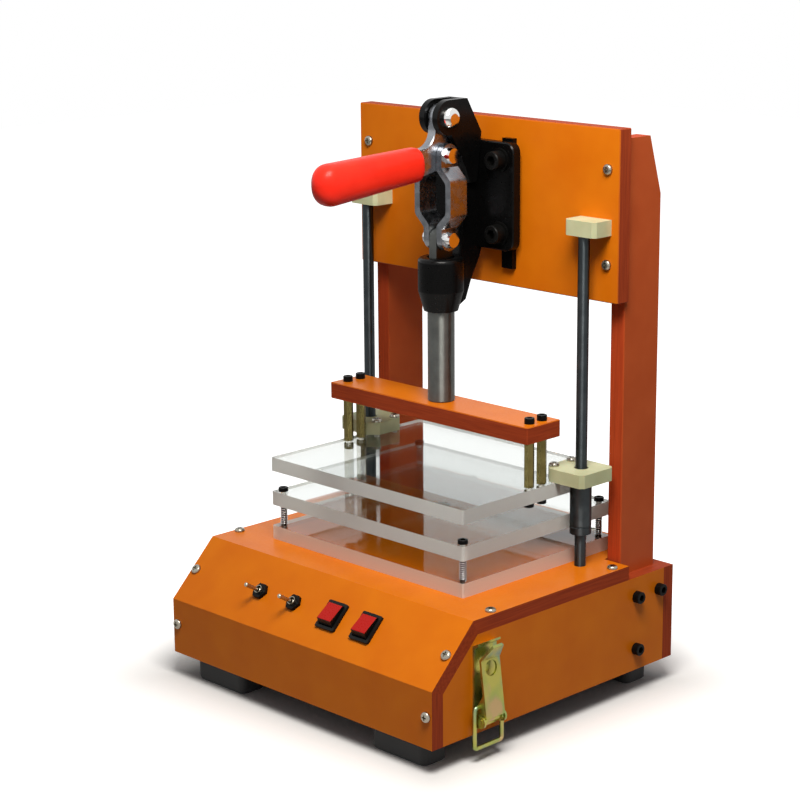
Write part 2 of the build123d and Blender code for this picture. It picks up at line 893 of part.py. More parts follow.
with BuildPart() as standoffs:
    with BuildSketch(Plane.XY.offset(press_top)):
        with Locations(*standoff_centres):
            RegularPolygon(radius=standoff_across_flats / 2, side_count=6, major_radius=False)
            Circle(cap_shank / 2, mode=Mode.SUBTRACT)
    extrude(amount=standoff_length)
save(standoffs, "standoffs")
cap_grip = 9.0
place_group(
    cap_screw(cap_shank, slab + cap_grip, cap_head_diameter, cap_head_height),
    [facing(x, y, bar_top, (0, 0, 1)) for x, y in standoff_centres],
    "bar_bolts",
)
place_group(
    cap_screw(cap_shank, plate_thickness + cap_grip, cap_head_diameter, cap_head_height),
    [facing(x, y, press_bottom, (0, 0, -1)) for x, y in standoff_centres],
    "press_plate_bolts",
)
place_group(
    cap_screw(
        clamp_bolt_shank,
        slab - plunger_screw_recess + plunger_thread,
        clamp_bolt_head_diameter,
        clamp_bolt_head_height,
    ),
    [facing(0, bar_centre_y, bar_bottom + plunger_screw_recess, (0, 0, -1))],
    "plunger_screw",
)


# Bearing blocks and linear bearings that slide on the guide rods

bearing_bottom = deck + bearing_height
bearing_seat = bearing_bottom + bearing_length - press_top
with BuildPart() as bearing_blocks:
    for side in (-1, 1):
        centre_x = side * (rod_x + (bearing_block_outer - bearing_block_inner) / 2)
        with BuildSketch(Plane.XY.offset(press_top)):
            with Locations((centre_x, rod_y)):
                Rectangle(bearing_block_outer + bearing_block_inner, bearing_block_depth)
        extrude(amount=bearing_block_height)
    block_corners = bearing_blocks.edges().filter_by(Axis.Z).group_by(Axis.X)
    for group, corner in zip(
        block_corners,
        (bearing_block_corner, bearing_block_chamfer, bearing_block_chamfer, bearing_block_corner),
    ):
        chamfer(group, length=corner)
    with Locations(
        (-rod_x, rod_y, press_top + bearing_block_height),
        (rod_x, rod_y, press_top + bearing_block_height),
    ):
        Hole(radius=rod_diameter / 2 + bearing_rim_clearance, depth=bearing_block_height)
    with Locations(
        facing(-rod_x, rod_y, press_top, (0, 0, -1)),
        facing(rod_x, rod_y, press_top, (0, 0, -1)),
    ):
        Hole(radius=bearing_diameter / 2, depth=bearing_seat)
    with Locations(*[(x, y, press_top + bearing_block_height) for x, y in bearing_screw_centres]):
        Hole(radius=screw_hole, depth=bearing_block_height)
save(bearing_blocks, "bearing_blocks")
place_group(
    pan_screw(bearing_block_height + plate_thickness - 1.0),
    [
        facing(x, y, press_top + bearing_block_height, (0, 0, 1))
        for x, y in bearing_screw_centres
    ],
    "bearing_block_screws",
)

with BuildPart() as linear_bearings:
    with BuildSketch(Plane.XY.offset(bearing_bottom)):
        with Locations((-rod_x, rod_y), (rod_x, rod_y)):
            Circle(bearing_diameter / 2)
            Circle(rod_diameter / 2 + running_clearance, mode=Mode.SUBTRACT)
    extrude(amount=bearing_length)
    for height in (bearing_groove_inset, bearing_length - bearing_groove_inset):
        with BuildSketch(Plane.XY.offset(bearing_bottom + height)):
            with Locations((-rod_x, rod_y), (rod_x, rod_y)):
                Circle(bearing_diameter / 2)
                Circle(bearing_diameter / 2 - 0.5, mode=Mode.SUBTRACT)
        extrude(amount=bearing_groove / 2, both=True, mode=Mode.SUBTRACT)
save(linear_bearings, "linear_bearings")


# Toggle clamp: fixed body with flange, web, guide barrel and fork ears

barrel_top = barrel_low_z + barrel_length
flange_bottom_z = flange_z - flange_height / 2
flange_top_z = flange_z + flange_height / 2
barrel_radius = barrel_diameter / 2
web_outline = [
    (plunger_y + barrel_radius - barrel_taper - 1.0, barrel_low_z + 1.0),
    (plunger_y + barrel_radius + 3.6, barrel_low_z + 5.5),
    (plunger_y + barrel_radius + 9.5, barrel_low_z + 20.0),
    (flange_front + 2.5, flange_bottom_z - 7.0),
    (flange_front + 5.0, flange_bottom_z + 1.0),
    (flange_front + 5.0, flange_top_z - 1.5),
    (plunger_y + 17.5, top_pin_z + ear_radius),
    (plunger_y, top_pin_z + ear_radius),
    (plunger_y + 1.0, top_pin_z - 10.4),
    (plunger_y + 9.0, top_pin_z - 23.4),
    (plunger_y + 16.0, top_pin_z - 36.4),
    (plunger_y + 20.0, top_pin_z - 46.4),
    (plunger_y + 18.0, top_pin_z - 66.0),
    (plunger_y + barrel_radius - 1.5, barrel_top - 2.0),
    (plunger_y + barrel_radius - 2.5, barrel_low_z + 12.0),
]
ear_outline = [
    (plunger_y + ear_slot_depth + 17.5, top_pin_z - 12.0),
    (plunger_y + 17.5, top_pin_z + ear_radius),
    (plunger_y, top_pin_z + ear_radius),
    (plunger_y + 1.0, top_pin_z - 10.4),
    (plunger_y + 9.0, top_pin_z - 23.4),
    (plunger_y + 16.0, top_pin_z - 36.4),
    (plunger_y + 20.0, top_pin_z - 46.4),
    (flange_front - 4.0, top_pin_z - 46.4),
]
with BuildPart() as clamp_body:
    with BuildSketch(Plane.XZ.offset(-flange_back)):
        with Locations((0, flange_z)):
            RectangleRounded(flange_width, flange_height, flange_corner)
    extrude(amount=flange_thickness)
    chamfer(clamp_body.edges().group_by(Axis.Y)[0], length=0.8)
    with BuildSketch(Plane.YZ.offset(-web_thickness / 2)):
        with BuildLine():
            Polyline(*web_outline, close=True)
        make_face()
    extrude(amount=web_thickness)
    with BuildSketch(Plane.YZ.offset(-ear_outer)):
        with BuildLine():
            Polyline(*ear_outline, close=True)
        make_face()
        with Locations((plunger_y, top_pin_z)):
            Circle(ear_radius)
    extrude(amount=2 * ear_outer)
    with BuildSketch(Plane.YZ.offset(-ear_inner)):
        with Locations((plunger_y, top_pin_z)):
            Rectangle(2 * ear_slot_depth, 2 * (crank + ear_slot_depth))
    extrude(amount=2 * ear_inner, mode=Mode.SUBTRACT)
    with BuildSketch(Plane.XZ.offset(-plunger_y)):
        with BuildLine():
            Polyline(
                (0, barrel_top),
                (0, barrel_low_z),
                (barrel_radius - barrel_taper, barrel_low_z),
                (barrel_radius, barrel_low_z + barrel_taper_length),
                (barrel_radius, barrel_top - barrel_rim),
            )
            RadiusArc(
                (barrel_radius, barrel_top - barrel_rim),
                (barrel_radius - barrel_rim, barrel_top),
                -barrel_rim,
            )
            Line((barrel_radius - barrel_rim, barrel_top), (0, barrel_top))
        make_face()
    revolve(axis=Axis((0, plunger_y, 0), (0, 0, 1)))
    with Locations((0, plunger_y, barrel_top)):
        Hole(radius=plunger_diameter / 2 + running_clearance, depth=barrel_length)
    with Locations(facing(ear_outer, plunger_y, top_pin_z, (1, 0, 0))):
        Hole(radius=pin_diameter / 2, depth=2 * ear_outer)
    with Locations(*[facing(x, flange_front, z, (0, -1, 0)) for x, z in clamp_bolt_points]):
        Hole(radius=clamp_bolt_shank / 2 + screw_clearance, depth=flange_thickness)
save(clamp_body, "clamp_body")

with BuildPart() as clamp_spacers:
    with BuildSketch(Plane.XZ.offset(-beam_front)):
        with Locations(
            (-clamp_bolt_pitch_x / 2, spacer_z),
            (clamp_bolt_pitch_x / 2, spacer_z),
        ):
            Rectangle(spacer_width, spacer_length)
    extrude(amount=spacer_thickness)
    with Locations(*[facing(x, flange_back, z, (0, -1, 0)) for x, z in clamp_bolt_points]):
        Hole(radius=clamp_bolt_shank / 2 + screw_clearance, depth=spacer_thickness)
save(clamp_spacers, "clamp_spacers")

clamp_stack = washer_thickness + flange_thickness + spacer_thickness + slab
washer_face = flange_front - washer_thickness
place_group(
    cap_screw(
        clamp_bolt_shank,
        clamp_stack + clamp_nut_height + clamp_bolt_reach,
        clamp_bolt_head_diameter,
        clamp_bolt_head_height,
    ),
    [facing(x, washer_face, z, (0, -1, 0)) for x, z in clamp_bolt_points],
    "clamp_bolts",
)
with BuildPart() as clamp_washers:
    with BuildSketch(Plane.XZ.offset(-flange_front)):
        with Locations(*clamp_bolt_points):
            Circle(washer_diameter / 2)
            Circle(clamp_bolt_shank / 2 + screw_clearance, mode=Mode.SUBTRACT)
    extrude(amount=washer_thickness)
save(clamp_washers, "clamp_washers")
place_group(
    hex_nut(clamp_nut_across_flats, clamp_nut_height, clamp_bolt_shank),
    [facing(x, upright_front, z, (0, 1, 0)) for x, z in clamp_bolt_points],
    "clamp_nuts",
)

# Plunger with a flat tongue that the two links straddle

tongue_radius = link_width / 2
with BuildPart() as clamp_plunger:
    with BuildSketch(Plane.XY.offset(bar_top)):
        with Locations((0, plunger_y)):
            Circle(plunger_diameter / 2)
    extrude(amount=shoulder_z - bar_top)
    chamfer(clamp_plunger.edges().filter_by(GeomType.CIRCLE), length=0.8)
    with BuildSketch(Plane.YZ.offset(-lever_thickness / 2)):
        with Locations((plunger_y, lower_pin_z)):
            Circle(tongue_radius)
        with Locations((plunger_y, (lower_pin_z + shoulder_z - 1.0) / 2)):
            Rectangle(2 * tongue_radius, lower_pin_z - shoulder_z + 1.0)
    extrude(amount=lever_thickness)
    with Locations(facing(0, plunger_y, bar_top, (0, 0, -1))):
        Hole(radius=clamp_bolt_shank / 2, depth=plunger_thread + 1.0)
save(clamp_plunger, "clamp_plunger")

# Lever: an arm between two eyes and a bar that carries the grip

handle_lean = math.radians(handle_droop)
handle_root_z = middle_pin_z - handle_axis_drop
tang_reach = grip_start + grip_length - grip_end_wall


def handle_point(reach, rise):
    """Y and Z of a point along the drooping handle, and square to it."""
    y = plunger_y - reach * math.cos(handle_lean) - rise * math.sin(handle_lean)
    z = handle_root_z - reach * math.sin(handle_lean) + rise * math.cos(handle_lean)
    return y, z


def handle_section(reach):
    """Plane square to the handle at a reach from the pins."""
    y, z = handle_point(reach, 0.0)
    return Plane(
        origin=(0, y, z),
        x_dir=(1, 0, 0),
        z_dir=(0, -math.cos(handle_lean), -math.sin(handle_lean)),
    )


tang_half = handle_tang_height / 2
throat_z = handle_point(lever_eye, tang_half)[1]
with BuildPart() as clamp_lever:
    with BuildSketch(Plane.YZ.offset(-lever_thickness / 2)) as lever_outline:
        with Locations((plunger_y, (top_pin_z + middle_pin_z) / 2)):
            SlotCenterToCenter(crank, 2 * lever_eye, rotation=90)
        with BuildLine():
            Polyline(
                (plunger_y, middle_pin_z - lever_eye),
                handle_point(0.0, tang_half),
                handle_point(tang_reach, tang_half),
                handle_point(tang_reach, -tang_half),
                handle_point(grip_start, -tang_half),
                close=True,
            )
        make_face()
        throat = lever_outline.vertices().sort_by_distance((plunger_y - lever_eye, throat_z, 0))[0]
        fillet(throat, radius=lever_throat)
    extrude(amount=lever_thickness)
    chamfer(clamp_lever.edges().group_by(Axis.X)[0], length=edge_break)
    chamfer(clamp_lever.edges().group_by(Axis.X)[-1], length=edge_break)
    with Locations(facing(lever_thickness / 2, plunger_y, top_pin_z, (1, 0, 0))):
        Hole(radius=pin_diameter / 2 + running_clearance, depth=lever_thickness)
    with Locations(facing(lever_thickness / 2, plunger_y, middle_pin_z, (1, 0, 0))):
        Hole(radius=pin_diameter / 2, depth=lever_thickness)
save(clamp_lever, "clamp_lever")

with BuildPart() as handle_grip:
    with BuildSketch(handle_section(grip_start)):
        RectangleRounded(grip_mouth_width, grip_mouth_height, grip_mouth_width / 2 - 0.5)
    with BuildSketch(handle_section(grip_start + grip_length)):
        RectangleRounded(grip_width, grip_height, grip_width / 2 - 0.5)
    loft()
    fillet(handle_grip.faces().sort_by(Axis.Y)[0].edges(), radius=grip_tip_round)
    fillet(handle_grip.faces().sort_by(Axis.Y)[-1].edges(), radius=grip_mouth_round)
    add(clamp_lever.part, mode=Mode.SUBTRACT)
save(handle_grip, "handle_grip")


# Bowed links, their rivets and the two hinge pins

def bowed_link():
    """Right-hand link: straight at both eyes and bowed outwards between them."""
    top = middle_pin_z + link_width / 2
    bottom = lower_pin_z - link_width / 2
    x0 = link_inner
    x1 = link_inner + link_bow
    z1 = middle_pin_z - link_straight
    z2 = z1 - link_bend
    z4 = lower_pin_z + link_straight
    z3 = z4 + link_bend
    shift = link_thickness * math.tan(math.atan2(link_bow, link_bend) / 2)
    with BuildPart() as link:
        with BuildSketch(Plane.XZ.offset(-plunger_y)):
            with BuildLine():
                Polyline(
                    (x0, top),
                    (x0, z1),
                    (x1, z2),
                    (x1, z3),
                    (x0, z4),
                    (x0, bottom),
                    (x0 + link_thickness, bottom),
                    (x0 + link_thickness, z4 - shift),
                    (x1 + link_thickness, z3 - shift),
                    (x1 + link_thickness, z2 + shift),
                    (x0 + link_thickness, z1 + shift),
                    (x0 + link_thickness, top),
                    close=True,
                )
            make_face()
        extrude(amount=link_width / 2, both=True)
        bends = link.edges().filter_by(Axis.Y).group_by(Axis.Z)[1:-1]
        for bend in bends:
            nearest = link.edges().filter_by(Axis.Y).sort_by_distance(bend[0].center())[0]
            bowed = nearest.center().X > (x0 + link_thickness + x1) / 2
            fillet(nearest, link_bow_round if bowed else link_eye_round)
        with BuildSketch(Plane.YZ):
            with Locations((plunger_y, (middle_pin_z + lower_pin_z) / 2)):
                SlotCenterToCenter(link_length, link_width, rotation=90)
        extrude(amount=x1 + 2 * link_thickness, mode=Mode.INTERSECT)
        with Locations(facing(link_outer, plunger_y, middle_pin_z, (1, 0, 0))):
            Hole(radius=pin_diameter / 2 + running_clearance, depth=link_thickness)
        with Locations(facing(link_outer, plunger_y, lower_pin_z, (1, 0, 0))):
            Hole(radius=pin_diameter / 2, depth=link_thickness)
    return link.part


right_link_shape = bowed_link()
with BuildPart() as right_link:
    add(right_link_shape)
save(right_link, "right_link")
with BuildPart() as left_link:
    mirror(right_link_shape, about=Plane.YZ)
save(left_link, "left_link")

for shape_of, z, half_span, name in (
    (dome_pin, top_pin_z, ear_outer, "lever_pin"),
    (hex_pin, middle_pin_z, link_outer, "link_pin"),
):
    with BuildPart() as pin:
        for side in (-1, 1):
            with Locations(facing(side * half_span, plunger_y, z, (side, 0, 0))):
                add(shape_of(half_span))
    save(pin, name)
with BuildPart() as link_rivets:
    for side in (-1, 1):
        with Locations(facing(side * link_outer, plunger_y, lower_pin_z, (side, 0, 0))):
            add(hex_pin(link_thickness))
save(link_rivets, "link_rivets")


# Draw latches: base plate with ears, lever, wire bail and rivets

def latch_frame(side):
    """Plane on a side panel: X runs outwards, Y runs up, in the middle of the latch."""
    return Plane(
        origin=(side * box_width / 2, latch_centre_y, box_bottom),
        x_dir=(side, 0, 0),
        z_dir=(0, -side, 0),
    )


def latch_base(side):
    """Sheet plate on the panel with two ears around the lever pin and a top lip."""
    frame = latch_frame(side)
    half = latch_plate_width / 2
    with BuildPart() as base:
        with BuildSketch(frame):
            with BuildLine():
                Polyline(
                    (0, latch_plate_bottom),
                    (latch_sheet, latch_plate_bottom),
                    (latch_sheet, latch_plate_top - latch_sheet),
                    (5.0, latch_plate_top + 1.0),
                    (5.0, latch_plate_top + 1.0 + latch_sheet),
                    (0, latch_plate_top),
                    close=True,
                )
            make_face()
        extrude(amount=half, both=True)
        for edge in (-1, 1):
            with BuildSketch(frame.offset(edge * half)):
                with BuildLine():
                    Polyline(
                        (0.5, latch_plate_bottom + 1.0),
                        (latch_pivot_out, latch_pivot_height - latch_ear_radius),
                        (latch_pivot_out, latch_pivot_height + latch_ear_radius),
                        (0.5, latch_pivot_height + latch_ear_radius + 1.5),
                        close=True,
                    )
                make_face()
                with Locations((latch_pivot_out, latch_pivot_height)):
                    Circle(latch_ear_radius)
                    Circle(latch_pin / 2, mode=Mode.SUBTRACT)
            extrude(amount=-edge * latch_sheet)
        with Locations(*latch_rivet_planes()):
            Hole(radius=latch_pin / 2, depth=2 * latch_sheet)
            with Locations((0, 0, latch_sheet)):
                Hole(radius=latch_pin / 2, depth=2 * latch_sheet)
    return base.part


with BuildPart() as latch_bases:
    add(latch_base(-1))
    add(latch_base(1))
save(latch_bases, "latch_bases")


def latch_lever(side, name):
    """Channel lever with a thumb tab; its flanges carry the pin and the bail."""
    frame = latch_frame(side)
    half = latch_lever_width / 2
    top_out = 4.2
    bottom_out = latch_pivot_out + 2.4
    bottom = latch_lever_bottom
    tab_out = top_out + latch_tab_length * math.cos(math.radians(55))
    tab_top = latch_lever_top + latch_tab_length * math.sin(math.radians(55))
    with BuildPart() as lever:
        with BuildSketch(frame):
            with BuildLine():
                Polyline(
                    (bottom_out, bottom),
                    (top_out, latch_lever_top),
                    (tab_out, tab_top),
                    (tab_out + latch_sheet, tab_top - latch_sheet * 0.7),
                    (top_out + latch_sheet + 0.2, latch_lever_top - latch_sheet * 0.5),
                    (bottom_out + latch_sheet, bottom),
                    close=True,
                )
            make_face()
        extrude(amount=half, both=True)
        with BuildSketch(Plane(origin=frame.origin, x_dir=frame.z_dir * -1, z_dir=frame.x_dir)):
            with BuildLine():
                Polyline(
                    (-half, 0),
                    (-half, latch_lever_top),
                    (-half * 0.45, tab_top + 1.0),
                    (half * 0.45, tab_top + 1.0),
                    (half, latch_lever_top),
                    (half, 0),
                    close=True,
                )
            make_face()
            with Locations((0, latch_hole_height)):
                Circle(latch_hole / 2, mode=Mode.SUBTRACT)
        extrude(amount=3 * latch_pivot_out, mode=Mode.INTERSECT)
        for edge in (-1, 1):
            with BuildSketch(frame.offset(edge * half)):
                with BuildLine():
                    Polyline(
                        (latch_pivot_out - 3.0, latch_pivot_height),
                        (bail_pivot_out - latch_eye_wall, bail_pivot_height),
                        (bail_pivot_out, bail_pivot_height + 2.6),
                        (bottom_out - 1.6, bail_pivot_height + 9.0),
                        (bottom_out + 0.5, latch_pivot_height - 0.5),
                        (latch_pivot_out, latch_pivot_height - 3.5),
                        close=True,
                    )
                make_face()
                with Locations((latch_pivot_out, latch_pivot_height)):
                    Circle(latch_pin / 2 + running_clearance, mode=Mode.SUBTRACT)
                with Locations((bail_pivot_out, bail_pivot_height)):
                    Circle(bail_wire / 2 + running_clearance, mode=Mode.SUBTRACT)
            extrude(amount=-edge * latch_sheet)
    save(lever, name)


def latch_bail(side, name):
    """Wire loop whose ends turn inwards through the lever flanges."""
    frame = latch_frame(side)
    flange_inner = latch_lever_width / 2 - latch_sheet - 1.0
    low = bail_pivot_height - bail_drop
    wire_plane = Plane(
        origin=frame.from_local_coords(Vector(bail_pivot_out, 0, 0)),
        x_dir=frame.z_dir,
        z_dir=frame.x_dir * -1,
    )
    start = wire_plane.from_local_coords(Vector(flange_inner, bail_pivot_height, 0))
    with BuildPart() as bail:
        with BuildLine(wire_plane) as route:
            FilletPolyline(
                (flange_inner, bail_pivot_height),
                (bail_half_width, bail_pivot_height),
                (bail_half_width, low),
                (-bail_half_width, low),
                (-bail_half_width, bail_pivot_height),
                (-flange_inner, bail_pivot_height),
                radius=bail_bend * 0.55,
            )
        with BuildSketch(Plane(origin=start, z_dir=route.line @ 0.01 - route.line @ 0.0)):
            Circle(bail_wire / 2)
        sweep(path=route.line)
    save(bail, name)


def latch_rivets():
    """Two panel rivets and one hinge pin for each latch."""
    with BuildPart() as rivets:
        for plane in latch_rivet_planes():
            with BuildSketch(plane.offset(-latch_rivet_depth)):
                Circle(latch_pin / 2)
            extrude(amount=latch_rivet_depth + latch_sheet)
            with BuildSketch(plane.offset(latch_sheet)):
                Circle(latch_rivet_head / 2)
            extrude(amount=latch_rivet_rise, taper=25)
        for side in (-1, 1):
            frame = latch_frame(side)
            with BuildSketch(frame):
                with Locations((latch_pivot_out, latch_pivot_height)):
                    Circle(latch_pin / 2)
            extrude(amount=latch_plate_width / 2, both=True)
            for edge in (-1, 1):
                with BuildSketch(frame.offset(edge * latch_plate_width / 2)):
                    with Locations((latch_pivot_out, latch_pivot_height)):
                        Circle(latch_pin * 0.8)
                extrude(amount=edge * 0.5)
    save(rivets, "latch_rivets")


for side, side_name in ((-1, "left"), (1, "right")):
    latch_lever(side, f"{side_name}_latch_lever")
    latch_bail(side, f"{side_name}_latch_bail")
latch_rivets()
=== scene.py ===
"""Dresses the circuit-board test fixture: finishes, modelled details, studio and camera.

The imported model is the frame. Metres, +X right, +Y back, +Z up, origin under the box.
"""

import logging
import math
from dataclasses import dataclass, field
from enum import Enum

import bmesh
import bpy
from mathutils import Matrix, Vector


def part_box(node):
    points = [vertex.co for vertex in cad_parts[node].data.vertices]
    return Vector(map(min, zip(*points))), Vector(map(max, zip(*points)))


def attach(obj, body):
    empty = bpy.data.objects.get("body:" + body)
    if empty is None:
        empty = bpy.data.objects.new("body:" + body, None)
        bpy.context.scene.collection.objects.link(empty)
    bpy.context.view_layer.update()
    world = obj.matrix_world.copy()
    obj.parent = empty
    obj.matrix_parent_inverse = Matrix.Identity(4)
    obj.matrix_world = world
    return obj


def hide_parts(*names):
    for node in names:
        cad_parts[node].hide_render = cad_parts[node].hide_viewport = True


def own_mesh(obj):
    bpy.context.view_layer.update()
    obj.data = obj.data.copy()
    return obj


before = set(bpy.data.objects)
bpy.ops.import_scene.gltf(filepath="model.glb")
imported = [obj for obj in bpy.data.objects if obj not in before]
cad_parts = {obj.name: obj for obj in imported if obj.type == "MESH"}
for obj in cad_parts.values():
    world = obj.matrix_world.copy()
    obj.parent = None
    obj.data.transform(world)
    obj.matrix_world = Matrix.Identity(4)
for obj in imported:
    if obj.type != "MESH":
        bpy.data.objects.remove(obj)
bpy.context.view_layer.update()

Tree = bpy.types.NodeTree
Socket = bpy.types.NodeSocket
Triple = tuple[float, float, float]
Span = tuple[float, float]

MM = 0.001
WELD_DISTANCE = 1e-6
WHITE = (1.0, 1.0, 1.0, 1.0)
EVEN = (1.0, 1.0, 1.0)
NOISE_SPAN = (0.3, 0.7)
EDGE_TURN = (0.6, 0.8)
log = logging.getLogger("test_fixture")


def linear(code: str) -> tuple[float, float, float, float]:
    """Turn an sRGB hex colour into the linear values that a shader takes.

    Args:
        code: Six hex digits, such as "d87a1e".

    Returns:
        Linear red, green, blue and an alpha of 1.
    """
    parts = [int(code[i:i + 2], 16) / 255.0 for i in (0, 2, 4)]
    light = [c / 12.92 if c <= 0.04045 else ((c + 0.055) / 1.055) ** 2.4 for c in parts]
    return light[0], light[1], light[2], 1.0


def add_node(
    tree: Tree,
    kind: str,
    settings: dict[str | int, object] | None = None,
    links: dict[str | int, Socket] | None = None,
) -> bpy.types.Node:
    """Add a node with its settings and the sockets that feed it.

    Args:
        tree: The material's or world's node tree.
        kind: The node's type name.
        settings: Input names or numbers, or properties of the node, with their values.
        links: Input names or numbers with the output sockets that feed them.

    Returns:
        The new node.
    """
    node = tree.nodes.new(kind)
    for key, value in (settings or {}).items():
        if isinstance(key, str) and hasattr(node, key):
            setattr(node, key, value)
        else:
            node.inputs[key].default_value = value
    for key, socket in (links or {}).items():
        tree.links.new(socket, node.inputs[key])
    return node


class Broad(Enum):
    """Which way the moulded faces of a board or plate look; its other faces are sawn edges."""

    ACROSS = (1.0, 0.0, 0.0)
    DEPTH = (0.0, 1.0, 0.0)
    UP = (0.0, 0.0, 1.0)
    SLOPE = (0.0, -0.70711, 0.70711)


def grain(
    tree: Tree, place: Socket, size_mm: float, detail: float = 3.0, stretch: Triple = EVEN
) -> Socket:
    """Draw a noise pattern whose spots are about one size across.

    Args:
        tree: The material's node tree.
        place: Object coordinates in metres.
        size_mm: The size of a spot in millimetres.
        detail: How many finer octaves it has.
        stretch: How much finer the pattern is along X, Y and Z.

    Returns:
        A value socket around 0.5.
    """
    scaled = add_node(tree, "ShaderNodeMapping", {"Scale": stretch}, {"Vector": place})
    noise = add_node(
        tree,
        "ShaderNodeTexNoise",
        {"Scale": 1.0 / (size_mm * MM), "Detail": detail},
        {"Vector": scaled.outputs["Vector"]},
    )
    return noise.outputs["Fac"]


def clouded(
    tree: Tree,
    pattern: Socket,
    first: str | Socket,
    second: str | Socket,
    span: Span = NOISE_SPAN,
) -> Socket:
    """Blend from one colour to another as a pattern rises.

    Args:
        tree: The material's node tree.
        pattern: The pattern's socket.
        first: A hex colour or a colour socket, shown where the pattern is low.
        second: A hex colour or a colour socket, shown where the pattern is high.
        span: The pattern's values between which the colours blend.

    Returns:
        The blended colour's socket.
    """
    amount = add_node(
        tree,
        "ShaderNodeMapRange",
        {"From Min": span[0], "From Max": span[1]},
        {"Value": pattern},
    )
    mix = add_node(tree, "ShaderNodeMix", {"data_type": "RGBA"}, {0: amount.outputs["Result"]})
    for slot, colour in ((6, first), (7, second)):
        if isinstance(colour, str):
            mix.inputs[slot].default_value = linear(colour)
        else:
            tree.links.new(colour, mix.inputs[slot])
    return mix.outputs[2]


def skin(
    tree: Tree, pattern: Socket, roughness: Span, depth_mm: float, relief: float
) -> dict[str, Socket]:
    """Let one fine pattern drive both the gloss and the relief of a surface.

    Args:
        tree: The material's node tree.
        pattern: The pattern's socket.
        roughness: The roughness in the pattern's hollows and on its crests.
        depth_mm: The pattern's depth in millimetres.
        relief: How much of that depth shows.

    Returns:
        The links for a shader's Roughness and Normal.
    """
    gloss = add_node(
        tree,
        "ShaderNodeMapRange",
        {
            "From Min": NOISE_SPAN[0],
            "From Max": NOISE_SPAN[1],
            "To Min": roughness[0],
            "To Max": roughness[1],
        },
        {"Value": pattern},
    )
    bumps = add_node(
        tree, "ShaderNodeBump", {"Strength": relief, "Distance": depth_mm * MM}, {"Height": pattern}
    )
    return {"Roughness": gloss.outputs["Result"], "Normal": bumps.outputs["Normal"]}


def facing_part(tree: Tree, normal: Socket, broad: Broad) -> Socket:
    """Tell a board's moulded faces from its sawn edges.

    Args:
        tree: The material's node tree.
        normal: The surface normal in object space.
        broad: The direction of the moulded faces.

    Returns:
        A value of 1 on moulded faces and 0 on edges.
    """
    dot = add_node(
        tree,
        "ShaderNodeVectorMath",
        {"operation": "DOT_PRODUCT", 1: broad.value},
        {0: normal},
    )
    size = add_node(tree, "ShaderNodeMath", {"operation": "ABSOLUTE"}, {0: dot.outputs["Value"]})
    part = add_node(
        tree,
        "ShaderNodeMapRange",
        {"From Min": EDGE_TURN[0], "From Max": EDGE_TURN[1]},
        {"Value": size.outputs[0]},
    )
    return part.outputs["Result"]


def ray_is(tree: Tree, *kinds: str) -> Socket:
    """Tell whether the ray that reaches a surface is of one of some kinds.

    Args:
        tree: The material's or world's node tree.
        kinds: The kinds' names, such as "Is Camera Ray".

    Returns:
        A value of 1 for such a ray and 0 for any other.
    """
    rays = add_node(tree, "ShaderNodeLightPath")
    answer = rays.outputs[kinds[0]]
    for kind in kinds[1:]:
        either = add_node(
            tree, "ShaderNodeMath", {"operation": "MAXIMUM"}, {0: answer, 1: rays.outputs[kind]}
        )
        answer = either.outputs[0]
    return answer


@dataclass(frozen=True)
class Finish:
    """A surface finish that builds its own material once.

    Attributes:
        name: The material's name.
    """

    name: str

    def material(self) -> bpy.types.Material:
        """Build the material, or return the one that is already there.

        Returns:
            The material with its nodes.
        """
        known = bpy.data.materials.get(self.name)
        if known:
            return known
        mat = bpy.data.materials.new(self.name)
        mat.use_nodes = True
        tree = mat.node_tree
        tree.nodes.clear()
        place = add_node(tree, "ShaderNodeTexCoord")
        surface = self.surface(tree, place.outputs["Object"], place.outputs["Normal"])
        add_node(tree, "ShaderNodeOutputMaterial", links={"Surface": surface})
        return mat

    def surface(self, tree: Tree, place: Socket, normal: Socket) -> Socket:
        """Add the finish's shader nodes.

        Args:
            tree: The material's node tree.
            place: Object coordinates in metres.
            normal: The surface normal in object space.

        Returns:
            The shader socket.
        """
        raise NotImplementedError


